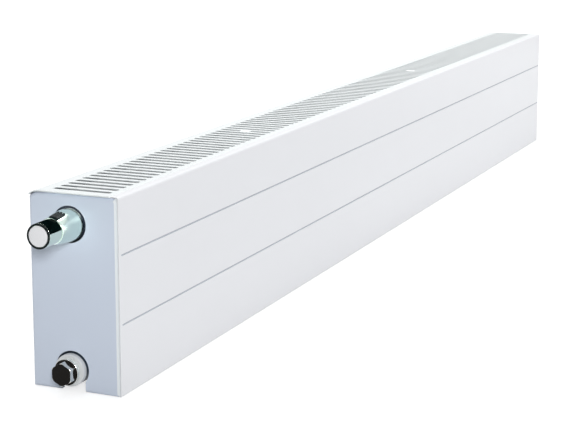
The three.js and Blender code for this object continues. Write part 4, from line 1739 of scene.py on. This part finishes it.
@dataclass
class ThermostaticHead:
    """Chromed head on the upper left port: bell, grip, end ring, cap and setting index."""

    port: Port
    finishes: Finishes
    sides: int = 128
    mouth: float = 3.0
    bell_insets: tuple[float, ...] = (2.2, 2.2, 2.4, 3.0, 4.0)
    bell_reaches: tuple[float, ...] = (-3.0, 2.0, 9.0, 16.0, 24.5)
    bell_end: float = 33.0
    neck_lip: float = 0.6
    bell_shade_reach: float = -0.6
    wall: float = 1.9
    nut_radius: float = 14.5
    nut_reach: float = 6.7
    web: float = 2.0
    pocket_depth: float = 3.0
    grip: float = 12.5
    grip_reach: float = 55.1
    grip_end: float = 1.5
    spigot: float = 6.0
    spigot_wall: float = 0.8
    ring_height: float = 1.0
    ring_wall: float = 2.0
    cap_dome: float = 0.7
    cap_edge: float = 0.1
    pin: float = 2.4
    index_start: float = 19.0
    index_end: float = 34.5
    index_thickness: float = 1.4
    index_lean: float = 13.0
    teeth: int = 3
    tooth_pitch: float = 3.3
    tooth_gap: float = 1.3
    tooth_depth: float = 2.4
    tooth_corner: float = 0.35
    index_edge: float = 0.2

    def bell_line(self, steps: int = 5) -> list[Pair]:
        """Draws the bell's outer line from its mouth to its neck.

        Args:
            steps: Segments between each two stations.

        Returns:
            The points of (radius, reach).
        """
        hole = self.port.body.port_hole
        stations = [(hole - i, r) for i, r in zip(self.bell_insets, self.bell_reaches)]
        stations.append((self.grip + self.neck_lip, self.bell_end))
        return curve_through(stations, steps)

    def turned_piece(self, name: str, profile: Sequence[Pair], closed: bool) -> bpy.types.Object:
        """Turns one piece of the head about the port's axis.

        Args:
            name: The piece's name.
            profile: The points of (radius, reach).
            closed: Whether the profile is a ring.

        Returns:
            The piece.
        """
        piece = turning(self.port.body, held(profile), self.port.at, self.sides, name, closed)
        return softened(piece, 0.0, even=False)

    def bell(self) -> None:
        """Builds the bell."""
        room = self.nut_radius + SEAT_GAP
        low = self.nut_reach + SEAT_GAP
        high = low + self.web
        neck = self.grip - self.wall + self.spigot_wall + SEAT_GAP
        pocket = self.port.body.port_hole - max(self.bell_insets) - self.wall
        lip = self.grip + self.neck_lip
        line = self.bell_line()[:-1]
        end = rounded([line[-1] + (0,), (lip, self.bell_end, 0.5), (neck, self.bell_end, 0)])
        profile = [
            (room, -self.mouth), *line, *end[1:],
            (neck, self.bell_end - self.spigot - SEAT_GAP),
            (pocket, high + self.pocket_depth), (pocket, high),
            (self.pin + SEAT_GAP, high), (self.pin + SEAT_GAP, low), (room, low),
        ]
        piece = self.turned_piece("head_bell_shell", profile, True)
        # Painted shade on the part of the bell inside the port hole.
        painted_shade_inside(
            piece, self.port, (self.finishes.satin, self.finishes.inner), self.bell_shade_reach
        )
        hand_over(piece, self.finishes.satin, "radiator", ["head_bell"])

    def sleeve(self) -> None:
        """Builds the turning grip."""
        bore = self.grip - self.wall
        start = self.bell_end + SEAT_GAP
        low = start - self.spigot
        end = self.grip_reach
        profile = rounded(
            [(0, end - self.grip_end, 0), (bore, end - self.grip_end, 0), (bore, low, 0),
             (bore + self.spigot_wall, low, 0), (bore + self.spigot_wall, start, 0),
             (self.grip, start, 0.25), (self.grip, end, 0.08), (0, end, 0)],
            steps=3,
        )
        piece = self.turned_piece("grip_sleeve", profile, False)
        hand_over(piece, self.finishes.chrome, "grip", ["grip_cylinder"])

    def end_pieces(self) -> None:
        """Builds the ring and the domed cap on the grip's end."""
        base = self.grip_reach + SEAT_GAP
        top = base + self.ring_height
        inner = self.grip - self.ring_wall
        ring = rounded(
            [(inner, base, 0), (self.grip, base, 0), (self.grip, top, 0.3), (inner, top, 0.2)],
            closed=True, steps=4,
        )
        piece = self.turned_piece("end_band", ring, True)
        hand_over(piece, self.finishes.black, "grip", ["end_ring"])
        radius = inner - SEAT_GAP
        edge = top - self.cap_edge
        dome = [
            (radius * math.cos(a), edge + (self.cap_dome + self.cap_edge) * math.sin(a) ** 0.9)
            for a in (math.pi / 2 * k / 12 for k in range(1, 12))
        ]
        profile = [(0, base), (radius, base), (radius, top - 0.4), (radius - 0.12, top - 0.15)]
        profile += [*dome, (0, top + self.cap_dome)]
        piece = self.turned_piece("cap_disc", profile, False)
        hand_over(piece, self.finishes.white, "grip", ["end_cap"])

    def index_mark(self) -> None:
        """Builds the pointer that lies on the bell, with its teeth toward the side panel."""
        half = (self.teeth * self.tooth_pitch - self.tooth_gap) / 2
        start, end = self.index_start, self.index_end
        corners = [(half, end), (-half, end)]
        for tooth in range(self.teeth):
            low = tooth * self.tooth_pitch - half
            high = low + self.tooth_pitch - self.tooth_gap
            root = start + self.tooth_depth
            corners += [(low, root), (low, start), (high, start), (high, root)]
        lean = math.radians(self.index_lean)
        across = (math.cos(lean), math.sin(lean))
        up = (-math.sin(lean), math.cos(lean))
        body = self.port.body
        face = body.end_x(self.port.end)

        def leaning(aside: float, reach: float, high: float) -> Point:
            """Gives the point at a distance aside of and above the port's axis, leaned over."""
            y = body.port_depth + aside * across[0] + high * up[0]
            return face - reach, y, self.port.height + aside * across[1] + high * up[1]

        work = Workpiece(body)
        outline = rounded([(a, r, self.tooth_corner) for a, r in corners], closed=True, steps=3)
        heights = (self.grip / 2, body.port_hole + 3)
        work.loft([[leaning(a, r, high) for a, r in outline] for high in heights])
        comb = work.plain("index_comb")
        for lift, operation in (
            (SEAT_GAP + self.index_thickness, "INTERSECT"),
            (SEAT_GAP, "DIFFERENCE"),
        ):
            line = [(r + lift, reach) for r, reach in self.bell_line() if reach > 0]
            neck = self.grip + self.neck_lip + lift
            low, high = -OVERSHOOT, end + OVERSHOOT
            profile = [(0, low), (line[0][0], low), *line, (neck, high), (0, high)]
            cut(comb, [turning(body, profile, self.port.at, 96)], operation)
        softened(comb, self.index_edge, limit=45)
        hand_over(comb, self.finishes.black, "radiator", ["setting_index"])

    def build(self) -> None:
        """Builds the whole head."""
        self.bell()
        self.sleeve()
        self.end_pieces()
        self.index_mark()


@dataclass
class CoilSpring:
    """Wound spring along a port's axis, between a still end and a free end beside a sliding piece."""

    port: Port
    finishes: Finishes
    node: str
    sliding: str
    still: float
    free: float
    radius: float
    wire: float
    turns: int
    steps: int = 30
    sides: int = 10

    def build(self) -> None:
        """Builds the spring between its still end and the sliding body."""
        low, high = sorted((self.still, self.free))
        half, count = self.wire / 2, self.turns * self.steps
        sections = []
        for k in range(count + 1):
            angle = 2 * math.pi * k / self.steps
            middle = low + half + (high - low - self.wire) * k / count
            sections.append([
                self.port.at(
                    self.radius + half * math.cos(around), angle, middle + half * math.sin(around)
                )
                for around in (2 * math.pi * s / self.sides for s in range(self.sides))
            ])
        work = Workpiece(self.port.body)
        work.loft(sections)
        spring = softened(work.plain(f"{self.node}_wire"), 0.0)
        spring.data.materials.append(self.finishes.steel.material())
        inward = math.copysign(self.wire, self.free - self.still)
        ends = [self.port.body.place(*self.port.at(0.0, 0.0, reach))
                for reach in (self.still + inward, self.free - inward)]
        self.sliding
        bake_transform(spring)
        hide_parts(self.node)
        LOG.info("%s: %d turns, moves with %s", spring.name, self.turns, self.sliding)


# ---------------------------------------------------------------------------------------
# Plugs and air vent
# ---------------------------------------------------------------------------------------


@dataclass
class PortPlug:
    """Hexagon plug with its flange and seal in a side port."""

    port: Port
    finishes: Finishes
    node: str
    seal_node: str
    hex_height: float = 9.0
    boss_reach: float = 6.0
    seal_thickness: float = 2.4
    seal_radius: float = 12.4
    bore: float = 9.5
    shank_depth: float = 16.0
    flange: float = 13.4
    flange_rim: float = 1.9
    flange_bevel: float = 1.7
    corner: float = 12.0
    chamfer: float = 1.0
    slope: float = 0.7
    hollow: float = 0.0
    recess: float = 0.0
    recess_radius: float = 5.3
    edge: float = 0.16

    def heights(self) -> tuple[float, float, float]:
        """Stacks the plug on its seal.

        Returns:
            The reach of the flange's seat, the hexagon's base and its outer face.
        """
        face = self.boss_reach + self.seal_thickness + 2 * SEAT_GAP
        base = face + self.flange_bevel + self.flange_rim
        return face, base, base + self.hex_height

    def hexagon(self, low: float, high: float) -> bpy.types.Object:
        """Builds the hexagon with one corner up and its outer edge chamfered.

        Args:
            low: Reach of its inner end.
            high: Reach of its outer face.

        Returns:
            The hexagon.
        """
        work = Workpiece(self.port.body)
        angles = [math.pi / 6 + math.pi / 3 * k for k in range(6)]
        work.loft([[self.port.at(self.corner, a, reach) for a in angles] for reach in (low, high)])
        piece = work.plain("hexagon")
        wide, inner = self.corner + self.chamfer, low - OVERSHOOT
        cone = [
            (0, inner), (wide, inner), (wide, high - 2 * self.chamfer * self.slope),
            (self.corner - self.chamfer, high), (0, high),
        ]
        return cut(piece, [turning(self.port.body, cone, self.port.at, 96)], "INTERSECT")

    def build(self) -> None:
        """Builds the plug with its seal and hands both over."""
        body, at = self.port.body, self.port.at
        face, base, top = self.heights()
        low, shank = face - self.shank_depth, self.bore - SEAT_GAP
        profile = rounded(
            [(0, low, 0), (shank, low, 0.8), (shank, face, 0), (self.seal_radius, face, 0.2),
             (self.flange, face + self.flange_bevel, 0.3), (self.flange, base, 0.5), (0, base, 0)],
            steps=4,
        )
        plug = turning(body, profile, at, 96, f"{self.node}_body")
        cut(plug, [self.hexagon(base - self.flange_rim / 2, top)], "UNION")
        if self.hollow:
            floor, wide = top - self.recess - SEAT_GAP, self.recess_radius
            inner, outer = low - OVERSHOOT, top + OVERSHOOT
            bore = [
                (0, inner), (self.hollow, inner), (self.hollow, floor), (wide, floor),
                (wide, outer), (0, outer),
            ]
            cut(plug, [turning(body, bore, at, 64)])
        softened(plug, self.edge, limit=28)
        self.paint_reflection_tones(plug)
        hand_over(plug, self.finishes.nickel, "radiator", [self.node])
        self.seal()

    def seal(self) -> None:
        """Builds the seal between the boss and the flange and hands it over."""
        inner, low = self.bore, self.boss_reach + SEAT_GAP
        high = low + self.seal_thickness
        ring = rounded(
            [(inner, low, 0.4), (self.seal_radius, low, 0.6), (self.seal_radius, high, 0.6),
             (inner, high, 0.4)],
            closed=True, steps=4,
        )
        piece = turning(self.port.body, ring, self.port.at, 72, f"{self.seal_node}_ring", True)
        softened(piece, 0.0)
        hand_over(piece, self.finishes.rubber, "radiator", [self.seal_node])

    def paint_reflection_tones(self, plug: bpy.types.Object) -> None:
        """Paints the faces that point outward black, a painted dark reflection, and leaves the others in
        bright nickel.

        Args:
            plug: The finished plug.
        """
        plug.data.materials.clear()
        plug.data.materials.append(self.finishes.nickel.material())
        plug.data.materials.append(self.finishes.bright.material())
        for face in plug.data.polygons:
            face.material_index = int(face.normal.x * self.port.end.value < 0.9)


@dataclass
class VentNozzle:
    """Swivelling spout on the air vent in the upper right port."""

    port: Port
    finishes: Finishes
    face: float = 20.9
    recess: float = 2.4
    spigot: float = 5.0
    radius: float = 7.6
    height: float = 5.0
    bore: float = 4.1
    spout: float = 2.0
    spout_bore: float = 1.1
    spout_reach: float = 11.0
    edge: float = 0.9

    def build(self) -> None:
        """Builds the nozzle and hands it over."""
        low, shoulder = self.face - self.recess, self.face + SEAT_GAP
        top = shoulder + self.height
        profile = rounded(
            [(self.bore, low, 0), (self.spigot, low, 0), (self.spigot, shoulder, 0),
             (self.radius, shoulder, 0.3), (self.radius, top, self.edge), (self.bore, top, 0.3)],
            closed=True, steps=4,
        )
        body, outward = self.port.body, self.port.end.value
        piece = turning(body, profile, self.port.at, 80, "vent_spout", True)
        x = body.end_x(self.port.end) + outward * (shoulder + top) / 2

        def down(radius: float, angle: float, reach: float) -> Point:
            """Gives a point round the spout, which hangs straight down."""
            y = body.port_depth + radius * math.sin(angle)
            return x + radius * math.cos(angle), y, self.port.height - reach

        start, end = self.bore + 1, self.spout_reach
        spout = rounded(
            [(0, start, 0), (self.spout, start, 0), (self.spout, end, 0.4), (0, end, 0)], steps=3
        )
        cut(piece, [turning(body, spout, down, 40)], "UNION")
        bore, beyond = self.spout_bore, end + OVERSHOOT
        hollow = [(0, self.radius), (bore, self.radius), (bore, beyond), (0, beyond)]
        cut(piece, [turning(body, hollow, down, 32)])
        softened(piece, 0.0)
        hand_over(piece, self.finishes.white, "nozzle", ["vent_nozzle"])


# ---------------------------------------------------------------------------------------
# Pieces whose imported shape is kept
# ---------------------------------------------------------------------------------------


@dataclass
class KeptNodes:
    """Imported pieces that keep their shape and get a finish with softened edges."""

    nodes: dict[str, bpy.types.Object]
    finishes: Finishes
    edge: float = 0.3

    def plan(self) -> dict[str, tuple[Finish, float]]:
        """Lists the kept nodes.

        Returns:
            The finish and the edge rounding in millimetres by node name.
        """
        finishes, edge = self.finishes, self.edge
        plan: dict[str, tuple[Finish, float]] = {
            "valve_insert": (finishes.brass, 0.0),
            "gland_nut": (finishes.brass, 0.0),
            "valve_spindle": (finishes.steel, 0.0),
            "union_nut": (finishes.nickel, 0.0),
            "sensor_capsule": (finishes.white, 0.0),
            "sensor_pin": (finishes.white, 0.0),
            "bleed_screw": (finishes.bright, edge),
        }
        for number in (1, 2):
            plan[f"spacer_bracket_{number}"] = (finishes.panel, edge)
            plan[f"grille_clip_{number}"] = (finishes.white, edge)
        for side in ("left", "right"):
            for level in ("upper", "lower"):
                plan[f"{level}_{side}_lug"] = (finishes.panel, edge)
        return plan

    def build(self) -> None:
        """Dresses each kept node."""
        for name, (finish, edge) in self.plan().items():
            node = self.nodes[name]
            node.data.materials.clear()
            node.data.materials.append(finish.material())
            weld = node.modifiers.new("weld", "WELD")
            weld.merge_threshold = WELD_DISTANCE
            if edge:
                add_rounding(node, edge)
            LOG.info("%s keeps its packed shape", name)


# ---------------------------------------------------------------------------------------
# Studio
# ---------------------------------------------------------------------------------------


@dataclass(frozen=True)
class SoftBox:
    """A rectangular studio lamp."""

    name: str
    place: Point
    aim: Point
    width: float
    height: float
    power: float
    colour: Rgb = (1.0, 1.0, 1.0)

    def build(self) -> None:
        """Hangs the lamp."""
        light = bpy.data.lights.new(self.name, "AREA")
        light.shape = "RECTANGLE"
        light.size, light.size_y = self.width, self.height
        light.energy = self.power
        light.color = self.colour
        lamp = bpy.data.objects.new(self.name, light)
        lamp.location = self.place
        aim = Vector(self.aim) - Vector(self.place)
        lamp.rotation_euler = aim.to_track_quat("-Z", "Y").to_euler()
        bpy.context.scene.collection.objects.link(lamp)


@dataclass(frozen=True)
class Flag:
    """A dark card square to the length, which polished metal sees from the end's side only."""

    name: str
    x: float
    low: Pair
    high: Pair
    tint: Rgb = (0.002, 0.007, 0.008)

    def material(self) -> bpy.types.Material:
        """Builds the card's paint, which is clear from behind.

        Returns:
            The material.
        """
        material = bpy.data.materials.new(self.name)
        material.use_nodes = True
        sketch = NodeSketch(material.node_tree)
        shader = material.node_tree.nodes["Principled BSDF"]
        shader.inputs["Base Color"].default_value = (*self.tint, 1.0)
        shader.inputs["Roughness"].default_value = 1.0
        shader.inputs["Specular IOR Level"].default_value = 0.0
        clear = sketch.add("ShaderNodeBsdfTransparent")
        side = sketch.add("ShaderNodeNewGeometry").outputs["Backfacing"]
        mix = sketch.add(
            "ShaderNodeMixShader", {0: side, 1: shader.outputs[0], 2: clear.outputs[0]}
        )
        leave = material.node_tree.nodes["Material Output"]
        material.node_tree.links.new(mix.outputs[0], leave.inputs["Surface"])
        return material

    def build(self, body: BodyFrame) -> None:
        """Hangs the card.

        Args:
            body: The body's frame.
        """
        (y0, z0), (y1, z1) = self.low, self.high
        mesh = bpy.data.meshes.new(self.name)
        corners = [(y0, z0), (y0, z1), (y1, z1), (y1, z0)]
        mesh.from_pydata([body.place(self.x, y, z) for y, z in corners], [], [(0, 1, 2, 3)])
        mesh.materials.append(self.material())
        card = bpy.data.objects.new(self.name, mesh)
        for ray in ("camera", "diffuse", "shadow", "transmission", "volume_scatter"):
            setattr(card, f"visible_{ray}", False)
        bpy.context.scene.collection.objects.link(card)


@dataclass
class Studio:
    """Camera, pale floor, white surroundings, soft lamps and a dark flag for the chrome."""

    body: BodyFrame
    camera_at: Point = (-1315.2, -738.1, 515.9)
    yaw: float = 23.236
    pitch: float = 10.183
    focal_pixels: float = 1607.5
    frame_pixels: float = 570.0
    shift_y: float = -0.12
    sensor: float = 36.0
    floor_size: float = 30.0
    floor_gap: float = 0.4
    floor_tint: Rgb = (0.5, 0.505, 0.51)
    ambient: float = 0.2
    ambient_tint: Rgb = (0.93, 0.96, 1.0)
    floor_lift: Pair = (0.72, 1.0)
    floor_clear: Pair = (0.95, 1.9)
    flags: tuple[Flag, ...] = (Flag("grip_flag", -32.5, (-40.0, 171.6), (140.0, 240.0)),)
    lamps: tuple[SoftBox, ...] = (
        SoftBox("front_box", (1.3, -3.3, 1.2), (0.2, 0.0, 0.1), 3.0, 1.8, 58.0),
        SoftBox("overhead_box", (0.3, 0.2, 2.8), (0.1, 0.0, 0.0), 2.6, 1.4, 65.0),
        SoftBox("left_box", (-2.8, -1.25, 1.05), (-0.8, 0.0, 0.12), 0.5, 0.5, 31.0),
    )

    def camera(self) -> None:
        """Places the camera at the photograph's viewing angle."""
        data = bpy.data.cameras.new("view")
        data.sensor_width = self.sensor
        data.lens = self.focal_pixels / self.frame_pixels * self.sensor
        data.shift_y = self.shift_y
        data.clip_start, data.clip_end = 0.05, 60.0
        cam = bpy.data.objects.new("view", data)
        yaw, pitch = math.radians(self.yaw), math.radians(self.pitch)
        ahead = Vector(
            (math.cos(yaw) * math.cos(pitch), math.sin(yaw) * math.cos(pitch), -math.sin(pitch))
        )
        cam.location = self.body.place(*self.camera_at)
        cam.rotation_euler = ahead.to_track_quat("-Z", "Y").to_euler()
        bpy.context.scene.collection.objects.link(cam)
        bpy.context.scene.camera = cam

    def surroundings(self) -> None:
        """Makes the world: white to the eye and in metal, plain soft light elsewhere."""
        world = bpy.data.worlds.new("studio")
        world.use_nodes = True
        bpy.context.scene.world = world
        sketch = NodeSketch(world.node_tree)
        plain = world.node_tree.nodes["Background"]
        plain.inputs["Color"].default_value = scaled(self.ambient_tint, 1.0)
        plain.inputs["Strength"].default_value = self.ambient
        white = sketch.add("ShaderNodeBackground", {"Color": (1, 1, 1, 1), "Strength": 1.0})
        path = sketch.add("ShaderNodeLightPath")
        seen = sketch.math("MAXIMUM", path.outputs["Is Camera Ray"], path.outputs["Is Glossy Ray"])
        seen = sketch.math("MAXIMUM", seen, path.outputs["Is Transmission Ray"])
        mix = sketch.add(
            "ShaderNodeMixShader", {0: seen, 1: plain.outputs[0], 2: white.outputs[0]}
        )
        world.node_tree.links.new(
            mix.outputs[0], world.node_tree.nodes["World Output"].inputs["Surface"]
        )

    def floor(self) -> None:
        """Lays the pale floor, which keeps a soft shadow."""
        work = bmesh.new()
        bmesh.ops.create_grid(work, x_segments=1, y_segments=1, size=self.floor_size / 2)
        mesh = bpy.data.meshes.new("studio_floor")
        work.to_mesh(mesh)
        work.free()
        floor = bpy.data.objects.new("studio_floor", mesh)
        floor.location.z = -self.floor_gap * MM
        bpy.context.scene.collection.objects.link(floor)
        mesh.materials.append(self.floor_paint())

    def floor_paint(self) -> bpy.types.Material:
        """Builds the floor's paint, which rises to white away from the radiator.

        Returns:
            The material.
        """
        material = bpy.data.materials.new("pale_floor")
        material.use_nodes = True
        sketch = NodeSketch(material.node_tree)
        shader = material.node_tree.nodes["Principled BSDF"]
        shader.inputs["Base Color"].default_value = scaled(self.floor_tint, 1.0)
        shader.inputs["Roughness"].default_value = 0.9
        shader.inputs["Specular IOR Level"].default_value = 0.0
        path = sketch.add("ShaderNodeLightPath")
        seen = sketch.math("MAXIMUM", path.outputs["Is Camera Ray"], path.outputs["Is Glossy Ray"])
        where = sketch.add("ShaderNodeTexCoord").outputs["Object"]
        away = sketch.add("ShaderNodeVectorMath", {0: where}, operation="LENGTH").outputs["Value"]
        rise = sketch.band(away, *self.floor_lift, self.floor_clear)
        lift = sketch.math("MULTIPLY", seen, rise)
        shader.inputs["Emission Color"].default_value = (1.0, 1.0, 1.0, 1.0)
        material.node_tree.links.new(lift, shader.inputs["Emission Strength"])
        return material

    def build(self) -> None:
        """Sets up the studio."""
        bpy.context.scene.view_settings.view_transform = "Standard"
        self.camera()
        self.surroundings()
        self.floor()
        for flag in self.flags:
            flag.build(self.body)
        for lamp in self.lamps:
            lamp.build()
        LOG.info("studio: %d lamps, %d flags", len(self.lamps), len(self.flags))


# ---------------------------------------------------------------------------------------
# Everything in order
# ---------------------------------------------------------------------------------------


def main() -> None:
    """Builds the looks of the radiator and reports each piece."""
    logging.basicConfig(level=logging.INFO, format="%(name)s: %(message)s")
    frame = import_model()
    body, finishes = BodyFrame(), Finishes()
    Studio(body).build()
    FrontCover(body, finishes).build()
    TopGrille(body, finishes).build()
    for end in End:
        SidePan(body, finishes, end).build()
    WaterPanel(body, finishes, "front_water_sheet", body.front_panel_face).build()
    WaterPanel(body, finishes, "rear_water_sheet", body.rear_panel_face).build()
    front_root = body.front_panel_face + body.panel_stack + SEAT_GAP
    Fins(body, finishes, "front_fins", front_root, 1).build()
    Fins(body, finishes, "rear_fins", body.rear_panel_face - SEAT_GAP, -1).build()
    for end in End:
        side = end.name.lower()
        upper = Port(body, end, body.upper_port)
        lower = Port(body, end, body.lower_port)
        if end is End.LEFT:
            Tee(upper, finishes, f"upper_{side}_tee", boss_end=-6.0, bore_depth=30.9).build()
            ThermostaticHead(upper, finishes).build()
            CoilSpring(
                upper, finishes, "relief_spring", "sensor",
                still=53.3, free=43.3, radius=6.0, wire=1.1, turns=4,
            ).build()
            CoilSpring(
                upper, finishes, "valve_spring", "spindle",
                still=-19.9, free=-8.7, radius=3.6, wire=0.9, turns=6,
            ).build()
        else:
            Tee(upper, finishes, f"upper_{side}_tee").build()
            PortPlug(
                upper, finishes, "vent_plug", "vent_seal", hex_height=8.3, hollow=2.6, recess=2.4
            ).build()
            VentNozzle(upper, finishes).build()
        Tee(lower, finishes, f"lower_{side}_tee").build()
        PortPlug(lower, finishes, f"{side}_blank_plug", f"{side}_plug_seal").build()
    KeptNodes(frame["nodes"], finishes).build()


if __name__ == "__main__":
    main()
